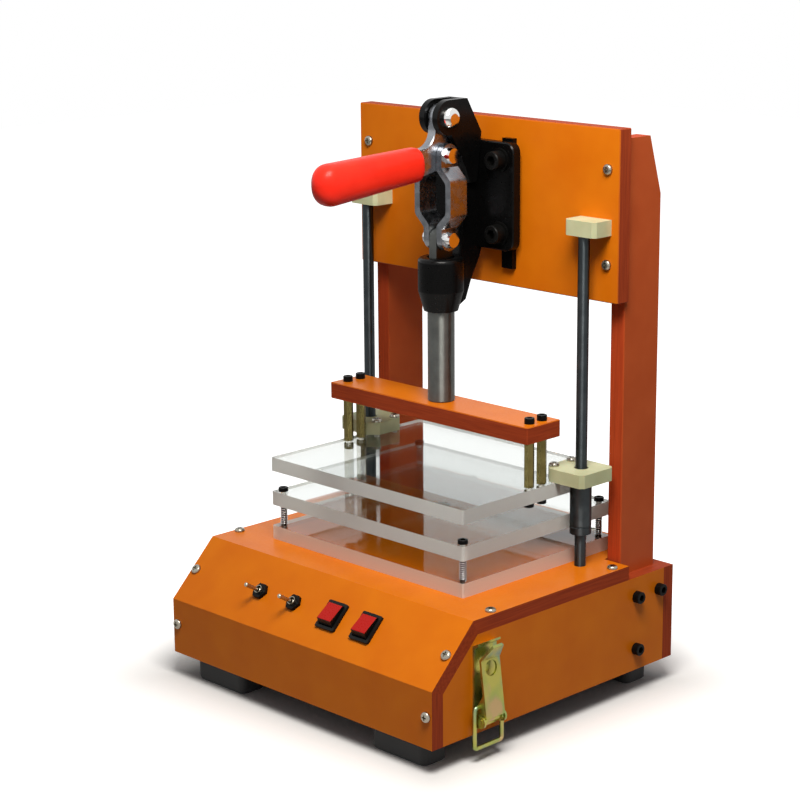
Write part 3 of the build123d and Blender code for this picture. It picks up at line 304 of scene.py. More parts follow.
@dataclass(frozen=True)
class LaminateBoard(Finish):
    """Phenolic laminate: pressed sheet with a satin skin over brown-red layers.

    The pressed faces are saturated and slightly mottled. The sawn edges show the darker
    resin layers, which lie parallel to the faces.

    Attributes:
        broad: The direction of the pressed faces.
        face_hex: The pressed faces' colour.
        face_warm_hex: Their second tone, in broad patches.
        edge_hex: The sawn edges' colour.
        edge_dark_hex: The darker resin layers in them.
        mottle_mm: The width of the faces' patches.
        layer_mm: The layers' thickness, several real ones together so that they show.
        layer_squash: How much finer the layers are across than the pattern they come from.
        layer_draw: How fine they are along the sheet.
        peel_mm: The width of the skin's waves.
        peel_depth_mm: The waves' depth.
        peel_relief: How much of that depth shows.
        satin: The pressed skin's roughness, from and to.
        sawn: The sawn edges' roughness.
        mirror: How strongly the resin mirrors.
    """

    broad: Broad = Broad.UP
    face_hex: str = "df780d"
    face_warm_hex: str = "d86f0a"
    edge_hex: str = "a8431f"
    edge_dark_hex: str = "8e361a"
    mottle_mm: float = 26.0
    layer_mm: float = 1.2
    layer_squash: float = 6.0
    layer_draw: float = 0.25
    peel_mm: float = 1.6
    peel_depth_mm: float = 0.015
    peel_relief: float = 0.3
    satin: Span = (0.30, 0.40)
    sawn: float = 0.62
    mirror: float = 0.12

    def surface(self, tree: Tree, place: Socket, normal: Socket) -> Socket:
        """Add pressed faces and layered edges, with a fine peel in the satin skin.

        Args:
            tree: The material's node tree.
            place: Object coordinates in metres.
            normal: The surface normal in object space.

        Returns:
            The shader socket.
        """
        mottle = grain(tree, place, self.mottle_mm, 2.0)
        faces = clouded(tree, mottle, self.face_hex, self.face_warm_hex)
        stretch = tuple(self.layer_squash * abs(axis) + self.layer_draw for axis in self.broad.value)
        layers = grain(tree, place, self.layer_squash * self.layer_mm, 2.0, stretch)
        edges = clouded(tree, layers, self.edge_hex, self.edge_dark_hex)
        pressed = facing_part(tree, normal, self.broad)
        colour = add_node(
            tree, "ShaderNodeMix", {"data_type": "RGBA"}, {0: pressed, 6: edges, 7: faces}
        )
        peel = grain(tree, place, self.peel_mm, 4.0)
        satin = skin(tree, peel, self.satin, self.peel_depth_mm, self.peel_relief)
        rough = add_node(
            tree,
            "ShaderNodeMix",
            {"data_type": "FLOAT", 2: self.sawn},
            {0: pressed, 3: satin["Roughness"]},
        )
        shader = add_node(
            tree,
            "ShaderNodeBsdfPrincipled",
            {"IOR": 1.5, "Specular IOR Level": self.mirror},
            {
                "Base Color": colour.outputs[2],
                "Roughness": rough.outputs[0],
                "Normal": satin["Normal"],
            },
        )
        return shader.outputs[0]


@dataclass(frozen=True)
class CastAcrylic(Finish):
    """Cast acrylic sheet: clear polished faces and milled edges that scatter light.

    Milling leaves the edges finely frosted, so they look pale where the faces are clear.

    Attributes:
        tint_hex: The clear sheet's tint.
        edge_hex: The milled edges' colour.
        smooth: The polished faces' roughness.
        frosted: The milled edges' roughness.
        frost_swing: How far that roughness varies either way.
        haze: The share of an edge that scatters light.
        saw_mm: The spacing of the cutter's marks, coarser than real ones so that they show.
        saw_draw: How fine those marks are along X, Y and Z.
        glass_mirror: How strongly the clear sheet mirrors.
        edge_mirror: How strongly the frosted edge mirrors.
        shadow_hex: The tint of the light that it lets through to its shadow.
    """

    tint_hex: str = "dde1df"
    edge_hex: str = "d9dbd8"
    smooth: float = 0.02
    frosted: float = 0.38
    frost_swing: float = 0.08
    haze: float = 0.72
    saw_mm: float = 2.0
    saw_draw: Triple = (1.0, 1.0, 0.1)
    glass_mirror: float = 0.16
    edge_mirror: float = 0.2
    shadow_hex: str = "eef2f1"

    def surface(self, tree: Tree, place: Socket, normal: Socket) -> Socket:
        """Add clear refraction and pale edges, with lamp light let straight through.

        Args:
            tree: The material's node tree.
            place: Object coordinates in metres.
            normal: The surface normal in object space.

        Returns:
            The shader socket.
        """
        sheet = facing_part(tree, normal, Broad.UP)
        colour = add_node(
            tree,
            "ShaderNodeMix",
            {"data_type": "RGBA", 6: linear(self.edge_hex), 7: linear(self.tint_hex)},
            {0: sheet},
        )
        frost = add_node(
            tree,
            "ShaderNodeMapRange",
            {
                "From Min": NOISE_SPAN[0],
                "From Max": NOISE_SPAN[1],
                "To Min": self.frosted - self.frost_swing,
                "To Max": self.frosted + self.frost_swing,
            },
            {"Value": grain(tree, place, self.saw_mm, 3.0, self.saw_draw)},
        )
        rough = add_node(
            tree,
            "ShaderNodeMix",
            {"data_type": "FLOAT", 3: self.smooth},
            {0: sheet, 2: frost.outputs["Result"]},
        )
        glass, pale = (
            add_node(
                tree,
                "ShaderNodeBsdfPrincipled",
                {"IOR": 1.49, "Transmission Weight": clear, "Specular IOR Level": mirror},
                {"Base Color": colour.outputs[2], "Roughness": rough.outputs[0]},
            )
            for clear, mirror in ((1.0, self.glass_mirror), (0.0, self.edge_mirror))
        )
        milled_share = add_node(
            tree, "ShaderNodeMapRange", {"To Min": self.haze, "To Max": 0.0}, {"Value": sheet}
        )
        milled = add_node(
            tree,
            "ShaderNodeMixShader",
            links={0: milled_share.outputs["Result"], 1: glass.outputs[0], 2: pale.outputs[0]},
        )
        passed = add_node(tree, "ShaderNodeBsdfTransparent", {"Color": linear(self.shadow_hex)})
        both = add_node(
            tree,
            "ShaderNodeMixShader",
            links={0: ray_is(tree, "Is Shadow Ray"), 1: milled.outputs[0], 2: passed.outputs[0]},
        )
        return both.outputs[0]


@dataclass(frozen=True)
class Metal(Finish):
    """Bare or plated metal with fine marks from how it was worked.

    Attributes:
        base_hex: The metal's own colour.
        stain_hex: Its second tone, in cloudy patches.
        roughness: How much it blurs what it mirrors.
        marks_mm: The width of the working marks, coarser than real ones so that they show.
        along: How much finer the marks are along X, Y and Z, for turned or drawn metal.
        marks_depth_mm: The marks' depth.
        relief: How much of that depth shows.
        cloud_mm: The width of the patches.
    """

    base_hex: str
    stain_hex: str
    roughness: float = 0.26
    marks_mm: float = 0.8
    along: Triple = EVEN
    marks_depth_mm: float = 0.01
    relief: float = 0.6
    cloud_mm: float = 9.0

    def surface(self, tree: Tree, place: Socket, normal: Socket) -> Socket:
        """Add metal whose roughness and tone follow its working marks.

        Args:
            tree: The material's node tree.
            place: Object coordinates in metres.
            normal: The surface normal in object space; not used here.

        Returns:
            The shader socket.
        """
        marks = grain(tree, place, self.marks_mm, 4.0, self.along)
        gloss = (self.roughness * 0.75, self.roughness * 1.3)
        colour = clouded(tree, grain(tree, place, self.cloud_mm), self.base_hex, self.stain_hex)
        shader = add_node(
            tree,
            "ShaderNodeBsdfPrincipled",
            {"Metallic": 1.0},
            {"Base Color": colour, **skin(tree, marks, gloss, self.marks_depth_mm, self.relief)},
        )
        return shader.outputs[0]


@dataclass(frozen=True)
class TurnedSteel(Finish):
    """Hardened steel turned and ground round an upright axis.

    The fine grooves run round the bar, so they draw each highlight out into a long upright
    streak, as on guide rods and plungers.

    Attributes:
        base_hex: The steel's own colour.
        stain_hex: Its second tone, in cloudy patches.
        roughness: How much it blurs what it mirrors.
        streak: How far the grooves draw a highlight out.
        quarter_turn: The turn from round the bar to along it.
        groove_mm: The width of a band of grooves, since single ones are too fine to show.
        groove_draw: How fine the bands are along X, Y and Z.
        groove_depth_mm: The bands' depth.
        relief: How much of that depth shows.
        cloud_mm: The width of the patches.
    """

    base_hex: str
    stain_hex: str
    roughness: float = 0.44
    streak: float = 1.0
    quarter_turn: float = 0.25
    groove_mm: float = 1.0
    groove_draw: Triple = (0.2, 0.2, 3.0)
    groove_depth_mm: float = 0.004
    relief: float = 0.4
    cloud_mm: float = 9.0

    def surface(self, tree: Tree, place: Socket, normal: Socket) -> Socket:
        """Add metal with upright streaks and faint rings.

        Args:
            tree: The material's node tree.
            place: Object coordinates in metres.
            normal: The surface normal in object space; not used here.

        Returns:
            The shader socket.
        """
        rings = grain(tree, place, self.groove_mm, 3.0, self.groove_draw)
        gloss = (self.roughness * 0.9, self.roughness * 1.1)
        round_axis = add_node(tree, "ShaderNodeTangent", {"direction_type": "RADIAL", "axis": "Z"})
        colour = clouded(tree, grain(tree, place, self.cloud_mm), self.base_hex, self.stain_hex)
        shader = add_node(
            tree,
            "ShaderNodeBsdfPrincipled",
            {
                "Metallic": 1.0,
                "Anisotropic": self.streak,
                "Anisotropic Rotation": self.quarter_turn,
            },
            {
                "Base Color": colour,
                "Tangent": round_axis.outputs["Tangent"],
                **skin(tree, rings, gloss, self.groove_depth_mm, self.relief),
            },
        )
        return shader.outputs[0]


@dataclass(frozen=True)
class YellowZinc(Finish):
    """Yellow-passivated zinc on pressed sheet steel: greenish gold with blue and pink tints.

    Attributes:
        gold_hex: The passivation's main colour.
        green_hex: Its greener drifts.
        blue_hex: Its blue patches.
        pink_hex: Its pink patches.
        drift_mm: The width of the drifts.
        patch_mm: The width of the blue and pink patches.
        patch_draw: How fine the patches are along X, Y and Z.
        green_span: The drift's values between which gold turns green.
        blue_span: The patches' values between which blue comes in.
        pink_span: The patches' values between which pink goes out.
        steel_mm: The width of the rolled sheet's grain, coarser than real so that it shows.
        steel_depth_mm: The grain's depth.
        relief: How much of that depth shows.
        gloss: The sheet's roughness, from and to.
    """

    gold_hex: str = "b4ae5a"
    green_hex: str = "8f9f5c"
    blue_hex: str = "769685"
    pink_hex: str = "b79c70"
    drift_mm: float = 22.0
    patch_mm: float = 15.0
    patch_draw: Triple = (1.0, 1.3, 0.7)
    green_span: Span = (0.42, 0.62)
    blue_span: Span = (0.55, 0.72)
    pink_span: Span = (0.30, 0.42)
    steel_mm: float = 0.8
    steel_depth_mm: float = 0.02
    relief: float = 0.5
    gloss: Span = (0.26, 0.42)

    def surface(self, tree: Tree, place: Socket, normal: Socket) -> Socket:
        """Add patches of interference colour that drift over the metal.

        Args:
            tree: The material's node tree.
            place: Object coordinates in metres.
            normal: The surface normal in object space; not used here.

        Returns:
            The shader socket.
        """
        drift = grain(tree, place, self.drift_mm, 1.0)
        patches = grain(tree, place, self.patch_mm, 1.0, self.patch_draw)
        gold = clouded(tree, drift, self.gold_hex, self.green_hex, self.green_span)
        cool = clouded(tree, patches, gold, self.blue_hex, self.blue_span)
        colour = clouded(tree, patches, self.pink_hex, cool, self.pink_span)
        steel = grain(tree, place, self.steel_mm, 4.0)
        shader = add_node(
            tree,
            "ShaderNodeBsdfPrincipled",
            {"Metallic": 1.0},
            {"Base Color": colour, **skin(tree, steel, self.gloss, self.steel_depth_mm, self.relief)},
        )
        return shader.outputs[0]


@dataclass(frozen=True)
class Enamel(Finish):
    """Stoved or oxide-black coating over metal, with a light orange peel.

    Attributes:
        base_hex: The coating's colour.
        worn_hex: A slightly paler tone in its patches.
        roughness: The coating's own roughness.
        peel_mm: The width of the peel's waves.
        gloss: The weight of the clear top layer.
        top_roughness: The roughness of that layer.
        sheen_level: How strongly the coat itself mirrors.
        peel_depth_mm: The waves' depth.
        relief: How much of that depth shows.
        cloud_mm: The width of the patches.
    """

    base_hex: str
    worn_hex: str
    roughness: float = 0.3
    peel_mm: float = 1.5
    gloss: float = 0.0
    top_roughness: float = 0.12
    sheen_level: float = 0.09
    peel_depth_mm: float = 0.01
    relief: float = 0.3
    cloud_mm: float = 6.0

    def surface(self, tree: Tree, place: Socket, normal: Socket) -> Socket:
        """Add a dark coat with faint patches and peel.

        Args:
            tree: The material's node tree.
            place: Object coordinates in metres.
            normal: The surface normal in object space; not used here.

        Returns:
            The shader socket.
        """
        peel = grain(tree, place, self.peel_mm, 3.0)
        gloss = (self.roughness * 0.85, self.roughness * 1.15)
        colour = clouded(tree, grain(tree, place, self.cloud_mm), self.base_hex, self.worn_hex)
        shader = add_node(
            tree,
            "ShaderNodeBsdfPrincipled",
            {
                "IOR": 1.5,
                "Specular IOR Level": self.sheen_level,
                "Coat Weight": self.gloss,
                "Coat Roughness": self.top_roughness,
            },
            {"Base Color": colour, **skin(tree, peel, gloss, self.peel_depth_mm, self.relief)},
        )
        return shader.outputs[0]


@dataclass(frozen=True)
class Moulded(Finish):
    """Moulded, dipped or machined plastic and rubber.

    Attributes:
        base_hex: The body colour.
        shade_hex: A second tone in its cloudy patches.
        roughness: The surface's mean roughness.
        grain_mm: The width of the surface grain.
        depth_mm: The grain's depth.
        relief: How much of that depth shows.
        inner: The weight of the light that scatters inside it.
        inner_mm: How far that light travels.
        gloss: The weight of a clear skin.
        top_roughness: The roughness of that skin.
        sheen_level: How strongly the body itself mirrors.
        cloud_mm: The width of the patches.
    """

    base_hex: str
    shade_hex: str
    roughness: float = 0.45
    grain_mm: float = 0.8
    depth_mm: float = 0.02
    relief: float = 0.6
    inner: float = 0.0
    inner_mm: float = 2.0
    gloss: float = 0.0
    top_roughness: float = 0.12
    sheen_level: float = 0.15
    cloud_mm: float = 18.0

    def surface(self, tree: Tree, place: Socket, normal: Socket) -> Socket:
        """Add a grained skin over a faintly clouded body.

        Args:
            tree: The material's node tree.
            place: Object coordinates in metres.
            normal: The surface normal in object space; not used here.

        Returns:
            The shader socket.
        """
        fine = grain(tree, place, self.grain_mm, 4.0)
        gloss = (self.roughness * 0.85, self.roughness * 1.15)
        cloud = grain(tree, place, self.cloud_mm, 2.0)
        shader = add_node(
            tree,
            "ShaderNodeBsdfPrincipled",
            {
                "IOR": 1.5,
                "Specular IOR Level": self.sheen_level,
                "Subsurface Weight": self.inner,
                "Subsurface Scale": self.inner_mm * MM,
                "Coat Weight": self.gloss,
                "Coat Roughness": self.top_roughness,
            },
            {
                "Base Color": clouded(tree, cloud, self.base_hex, self.shade_hex),
                **skin(tree, fine, gloss, self.depth_mm, self.relief),
            },
        )
        return shader.outputs[0]


@dataclass(frozen=True)
class PaintedShadeRocker(Finish):
    """Red rocker with painted shade: glossy red on faces that look the crown's way, black painted on
    its ends and skirts.

    Attributes:
        crown: The direction that the crown faces at rest.
        crown_span: How squarely a face looks that way where black turns red.
        red_hex: The crown's colour.
        painted_shade_hex: The black painted on the ends and skirts as painted shade.
        grain_mm: The width of the mould's grain.
        depth_mm: The grain's depth.
        relief: How much of that depth shows.
        gloss: The moulding's roughness, from and to.
        mirror: How strongly the plastic mirrors.
    """

    crown: Triple = (0.0, -0.5736, 0.8192)
    crown_span: Span = (0.72, 0.78)
    red_hex: str = "b4150b"
    painted_shade_hex: str = "0d0c0c"
    grain_mm: float = 0.9
    depth_mm: float = 0.01
    relief: float = 0.4
    gloss: Span = (0.24, 0.34)
    mirror: float = 0.15

    def surface(self, tree: Tree, place: Socket, normal: Socket) -> Socket:
        """Add red where the surface faces the crown's way and black painted shade elsewhere.

        Args:
            tree: The material's node tree.
            place: Object coordinates in metres.
            normal: The surface normal in object space.

        Returns:
            The shader socket.
        """
        towards = add_node(
            tree, "ShaderNodeVectorMath", {"operation": "DOT_PRODUCT", 1: self.crown}, {0: normal}
        )
        colour = clouded(
            tree, towards.outputs["Value"], self.painted_shade_hex, self.red_hex, self.crown_span
        )
        fine = grain(tree, place, self.grain_mm, 3.0)
        shader = add_node(
            tree,
            "ShaderNodeBsdfPrincipled",
            {"IOR": 1.5, "Specular IOR Level": self.mirror},
            {"Base Color": colour, **skin(tree, fine, self.gloss, self.depth_mm, self.relief)},
        )
        return shader.outputs[0]


# Bright chrome over ground pins: sharp mirrors that hardly waver.
CHROME_PLATE = Metal(
    "chrome_plate", "9b9fa4", "868a90", roughness=0.18, marks_mm=3.5, marks_depth_mm=0.05
)
# Bright chrome over pressed links: the press leaves slow waves, so the mirrors swim.
PRESSED_CHROME = Metal(
    "pressed_chrome_link", "9ea1a6", "898c92", roughness=0.25, marks_mm=5.0, marks_depth_mm=0.05
)
# Ground hard-chromed steel: one bright upright streak between darker sides.
PLUNGER_STEEL = TurnedSteel("ground_plunger_steel", "727471", "646663", roughness=0.46)
# Turned bearing sleeves and hardened rods: dark steel with a soft upright streak.
BEARING_STEEL = TurnedSteel("bearing_sleeve_steel", "484d4f", "3c4042")
DARK_STEEL = TurnedSteel("hardened_rod_steel", "474d50", "3c4245")
# Bright zinc on screws: a slightly milky, warm silver.
ZINC_SCREW = Metal("bright_zinc", "aca79a", "959083")
# Drawn brass hexagon bar, gone olive: the die leaves lines along it.
OLIVE_BRASS = Metal("drawn_brass", "85794a", "6d623a", along=(3.0, 3.0, 0.2))
# Drawn spring wire: smooth, so each turn holds a small highlight.
SPRING_STEEL = Metal(
    "spring_wire", "a6a6a4", "90908e", roughness=0.18, marks_mm=0.6, marks_depth_mm=0.004
)
YELLOW_ZINC = YellowZinc("yellow_passivated_zinc")
# Oxide black on socket screws: a dull black that still shows their edges.
OXIDE_SCREW = Enamel("black_oxide", "080808", "0e0e0d", roughness=0.36, peel_mm=0.6)
# Stoved enamel on the clamp's body: deep black with a slow peel under a clear gloss.
STOVED_BLACK = Enamel("stoved_black_enamel", "050505", "080808", peel_mm=2.6, gloss=0.12)
# Vinyl dipped over the handle: a soft satin red with slow waves.
DIPPED_VINYL = Moulded(
    "dipped_red_vinyl", "f8301e", "f02a1a", roughness=0.36, grain_mm=3.0, gloss=0.08
)
# Red crown with black painted shade on the faces turned away from it.
RED_ROCKER = PaintedShadeRocker("red_rocker_painted_shade")
# Moulded nylon: a faintly grained grey-black.
BLACK_NYLON = Moulded(
    "black_nylon",
    "0d0d0c",
    "131211",
    roughness=0.48,
    grain_mm=0.7,
    depth_mm=0.01,
    sheen_level=0.16,
)
# Milled acetal: pale and waxy, with a little light inside it.
CREAM_ACETAL = Moulded(
    "cream_acetal",
    "cdd0a8",
    "bcbf96",
    roughness=0.50,
    grain_mm=1.2,
    inner=0.08,
    sheen_level=0.2,
)
# Moulded rubber: matt black.
BLACK_RUBBER = Moulded("black_rubber", "0d0c0c", "131212", roughness=0.72, grain_mm=0.6)
ACRYLIC = CastAcrylic("cast_acrylic")
# The lowest sheet lies on the orange deck; its milled edges get a warm tint, a painted reflection of
# that deck.
ACRYLIC_PAINTED_ORANGE_REFLECTION = CastAcrylic("cast_acrylic_painted_orange_reflection", edge_hex="f0e4da")


def red_board(broad: Broad) -> LaminateBoard:
    """Return the redder sheet that the uprights are cut from."""
    return LaminateBoard(
        f"red_laminate_{broad.name.lower()}",
        broad,
        face_hex="c4592a",
        face_warm_hex="bb5124",
        edge_hex="c24a22",
        edge_dark_hex="ae411d",
    )


def board(broad: Broad) -> LaminateBoard:
    """Return the orange board whose pressed faces look along the given direction."""
    return LaminateBoard(f"orange_laminate_{broad.name.lower()}", broad)


def dress(finish: Finish, *names: str) -> None:
    """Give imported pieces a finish.

    Args:
        finish: The finish to build and assign.
        names: The pieces' names.
    """
    mat = finish.material()
    for name in names:
        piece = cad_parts[name]
        piece.data.materials.clear()
        piece.data.materials.append(mat)
        log.info("%s: %s", name, finish.name)


def finish_piece(
    bm: bmesh.types.BMesh, name: str, finish: Finish, body: str
) -> bpy.types.Object:
    """Turn a bmesh into a finished, smoothly shaded object that rides on a body.

    Args:
        bm: The modelled mesh, in metres, in place.
        name: The object's name.
        finish: Its finish.
        body: The body that carries it.

    Returns:
        The new object.
    """
    bmesh.ops.remove_doubles(bm, verts=bm.verts, dist=WELD_DISTANCE)
    bmesh.ops.recalc_face_normals(bm, faces=bm.faces)
    mesh = bpy.data.meshes.new(name)
    bm.to_mesh(mesh)
    bm.free()
    for face in mesh.polygons:
        face.use_smooth = True
    mesh.materials.append(finish.material())
    piece = bpy.data.objects.new(name, mesh)
    bpy.context.scene.collection.objects.link(piece)
    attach(piece, body)
    log.info("%s: %d faces on %s", name, len(mesh.polygons), body)
    return piece


@dataclass
class ControlBox:
    """The wedge-fronted box, its screws and feet."""

    def build(self) -> None:
        """Dress the panels, screws and feet."""
        dress(board(Broad.ACROSS), "left_side_panel", "right_side_panel")
        dress(board(Broad.DEPTH), "front_panel", "back_panel")
        dress(board(Broad.SLOPE), "slope_panel")
        dress(board(Broad.UP), "top_plate")
        dress(ZINC_SCREW, "panel_screws", "foot_screws")
        dress(BLACK_NYLON, "bottom_plate")
        dress(BLACK_RUBBER, "rubber_feet")


@dataclass
class Switches:
    """The toggles and rockers on the sloped panel."""

    def build(self) -> None:
        """Dress the switches."""
        dress(BLACK_NYLON, "rocker_housings")
        dress(RED_ROCKER, "rocker_left", "rocker_right")
        dress(OXIDE_SCREW, "toggle_nuts")
        dress(ZINC_SCREW, "toggle_bodies", "toggle_lever_left", "toggle_lever_right")


@dataclass
class Tower:
    """Uprights, beam plate, guide rods and their blocks."""

    def build(self) -> None:
        """Dress the tower's pieces."""
        dress(red_board(Broad.ACROSS), "left_upright", "right_upright")
        dress(board(Broad.DEPTH), "beam_plate")
        dress(OXIDE_SCREW, "upright_bolts")
        dress(ZINC_SCREW, "beam_screws", "rod_block_screws")
        dress(DARK_STEEL, "guide_rods")
        dress(CREAM_ACETAL, "rod_blocks")


@dataclass
class PlateStack:
    """The acrylic plates with the sprung guides between the lower two.

    Attributes:
        wire: The spring wire's thickness.
        turns: The turns of a spring.
        steps_per_turn: The coil's steps in one turn.
        wire_sides: The sides of the wire's round section.
        head_radius: The radius of a guide screw's head.
        travel: How far the carrier plate goes down; not used.
    """

    wire: float = 0.6 * MM
    turns: int = 11
    steps_per_turn: int = 20
    wire_sides: int = 8
    head_radius: float = 3.5 * MM
    travel: float = 8.0 * MM

    def coil(self, bm: bmesh.types.BMesh, centre: Vector, mean_radius: float, height: float) -> None:
        """Add one coil spring to a bmesh.

        Args:
            bm: The bmesh that takes the coil.
            centre: The middle of the coil's foot.
            mean_radius: The radius of the wire's centre line.
            height: The coil's height, wire included.
        """
        steps = self.turns * self.steps_per_turn
        start = centre + Vector((mean_radius, 0.0, self.wire / 2))
        place = Matrix.Translation(start) @ Matrix.Rotation(math.pi / 2, 4, "X")
        ring = bmesh.ops.create_circle(
            bm, cap_ends=True, radius=self.wire / 2, segments=self.wire_sides, matrix=place
        )
        faces = list({f for v in ring["verts"] for f in v.link_faces})
        bmesh.ops.spin(
            bm,
            geom=faces,
            cent=centre,
            axis=(0.0, 0.0, 1.0),
            dvec=(0.0, 0.0, (height - self.wire) / steps),
            angle=math.tau * self.turns,
            steps=steps,
            use_duplicate=False,
        )

    def build(self) -> None:
        """Dress the plates and wind the four springs."""
        dress(ACRYLIC, "carrier_plate", "press_plate")
        # The probe plate's edges carry a painted orange reflection of the deck under it.
        dress(ACRYLIC_PAINTED_ORANGE_REFLECTION, "probe_plate")
        dress(OXIDE_SCREW, "carrier_guide_screws")
        low, high = (Vector(corner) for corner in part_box("carrier_springs"))
        screw_low, screw_high = (Vector(corner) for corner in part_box("carrier_guide_screws"))
        first = screw_low + Vector((self.head_radius, self.head_radius, 0.0))
        last = screw_high - Vector((self.head_radius, self.head_radius, 0.0))
        mean_radius = first.x - low.x - self.wire / 2
        bm = bmesh.new()
        for x in (first.x, last.x):
            for y in (first.y, last.y):
                self.coil(bm, Vector((x, y, low.z)), mean_radius, high.z - low.z)
        springs = finish_piece(bm, "spring_coils", SPRING_STEEL, "base")
        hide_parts("carrier_springs")
        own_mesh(springs)


@dataclass
class PressHead:
    """The moving head: cross bar, standoffs, bearing blocks, bearings and plunger."""

    def build(self) -> None:
        """Dress the head's pieces."""
        dress(board(Broad.UP), "cross_bar")
        dress(OLIVE_BRASS, "standoffs")
        dress(OXIDE_SCREW, "bar_bolts", "press_plate_bolts", "plunger_screw")
        dress(CREAM_ACETAL, "bearing_blocks")
        dress(ZINC_SCREW, "bearing_block_screws")
        dress(BEARING_STEEL, "linear_bearings")
        dress(PLUNGER_STEEL, "clamp_plunger")


@dataclass
class ToggleClamp:
    """The straight-line toggle clamp with its dipped handle grip.

    Attributes:
        sides: The sides of the grip's section.
        rings: The rings between its ends.
        squareness: The power of its section's curve, where 2 is an ellipse.
        grip_length: Its length along the handle.
        mouth_size: Its width and height at the mouth.
        tip_size: Its width and height at the tip.
        droop_deg: How far it droops towards the tip.
        tip_round: The length of the rounded tip.
        tip_reach: How far the last ring goes, just short of a point.
        mouth_round: The length of the rolled mouth.
        mouth_roll: How much the mouth rolls in.
    """

    sides: int = 64
    rings: int = 40
    squareness: float = 2.5
    grip_length: float = 93.7 * MM
    mouth_size: tuple[float, float] = (18.5 * MM, 23.5 * MM)
    tip_size: tuple[float, float] = (22.0 * MM, 29.0 * MM)
    droop_deg: float = 4.0
    tip_round: float = 13.0 * MM
    tip_reach: float = 0.9995
    mouth_round: float = 4.0 * MM
    mouth_roll: float = 0.26

    def end_rounding(self, along: float) -> float:
        """Return the share of full size that the rounded ends leave at a distance from the mouth.

        Args:
            along: Distance from the mouth, in metres.

        Returns:
            1 where the grip is full, falling to 0 at the closed tip.
        """
        share = 1.0
        if along < self.mouth_round:
            gap = 1.0 - along / self.mouth_round
            share *= 1.0 - self.mouth_roll * (1.0 - math.sqrt(max(0.0, 1.0 - gap * gap)))
        left = self.grip_length - along
        if left < self.tip_round:
            gap = 1.0 - left / self.tip_round
            share *= math.sqrt(max(0.0, 1.0 - gap * gap))
        return share

    def grip(self) -> bpy.types.Object:
        """Model the dipped grip: a soft-cornered bar that swells and droops to a round tip.

        Returns:
            The grip's object.
        """
        low, high = (Vector(corner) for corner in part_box("handle_grip"))
        droop = math.radians(self.droop_deg)
        mouth = Vector(
            (
                (low.x + high.x) / 2,
                high.y - self.mouth_size[1] / 2 * math.sin(droop),
                high.z - self.mouth_size[1] / 2 * math.cos(droop),
            )
        )
        bm = bmesh.new()
        turned = Matrix.Translation((0.0, 0.5, 0.0)) @ Matrix.Rotation(math.pi / 2, 4, "X")
        bmesh.ops.create_cone(
            bm, cap_ends=True, segments=self.sides, radius1=1.0, radius2=1.0, depth=1.0, matrix=turned
        )
        long_edges = [e for e in bm.edges if abs(e.verts[0].co.y - e.verts[1].co.y) > 0.5]
        bmesh.ops.subdivide_edges(bm, edges=long_edges, cuts=self.rings)
        power = self.squareness
        for vert in bm.verts:
            eased = min(0.5 - 0.5 * math.cos(math.pi * vert.co.y), self.tip_reach)
            round_off = self.end_rounding(self.grip_length * eased)
            angle = math.atan2(vert.co.z, vert.co.x)
            corner = (abs(math.cos(angle)) ** power + abs(math.sin(angle)) ** power) ** (-1 / power)
            wide, tall = (
                start + (end - start) * eased for start, end in zip(self.mouth_size, self.tip_size)
            )
            vert.co = mouth + Vector(
                (
                    corner * math.cos(angle) * round_off * wide / 2,
                    -self.grip_length * eased,
                    corner * math.sin(angle) * round_off * tall / 2,
                )
            )
        bmesh.ops.rotate(bm, cent=mouth, matrix=Matrix.Rotation(droop, 3, "X"), verts=bm.verts)
        grip = finish_piece(bm, "dipped_grip", DIPPED_VINYL, "handle")
        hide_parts("handle_grip")
        return grip

    def build(self) -> None:
        """Dress the clamp and model its grip."""
        dress(STOVED_BLACK, "clamp_body", "clamp_spacers")
        dress(PRESSED_CHROME, "clamp_lever", "left_link", "right_link")
        dress(CHROME_PLATE, "link_pin", "link_rivets", "lever_pin")
        dress(OXIDE_SCREW, "clamp_bolts", "clamp_washers", "clamp_nuts")
        self.grip()


@dataclass
class DrawLatches:
    """The sheet-metal draw latches on the side panels."""

    def build(self) -> None:
        """Dress both latches."""
        dress(YELLOW_ZINC, "latch_bases", "latch_rivets")
        dress(YELLOW_ZINC, "left_latch_lever", "right_latch_lever")
        dress(YELLOW_ZINC, "left_latch_bail", "right_latch_bail")


@dataclass
class SoftBox:
    """A rectangular studio lamp.

    Attributes:
        name: The lamp's name.
        place: Its position in metres.
        aim: The point that it faces.
        size: Width and height in metres.
        watts: Its power.
        tone_hex: Its colour.
    """

    name: str
    place: Triple
    aim: Triple
    size: Span
    watts: float
    tone_hex: str = "ffffff"

    def build(self) -> None:
        """Hang the lamp and turn it to its aim."""
        lamp = bpy.data.lights.new(self.name, "AREA")
        lamp.shape = "RECTANGLE"
        lamp.size, lamp.size_y = self.size
        lamp.energy = self.watts
        lamp.color = linear(self.tone_hex)[:3]
        holder = bpy.data.objects.new(self.name, lamp)
        bpy.context.scene.collection.objects.link(holder)
        away = Vector(self.place) - Vector(self.aim)
        turn = away.to_track_quat("Z", "Y").to_matrix().to_4x4()
        holder.matrix_world = Matrix.Translation(self.place) @ turn


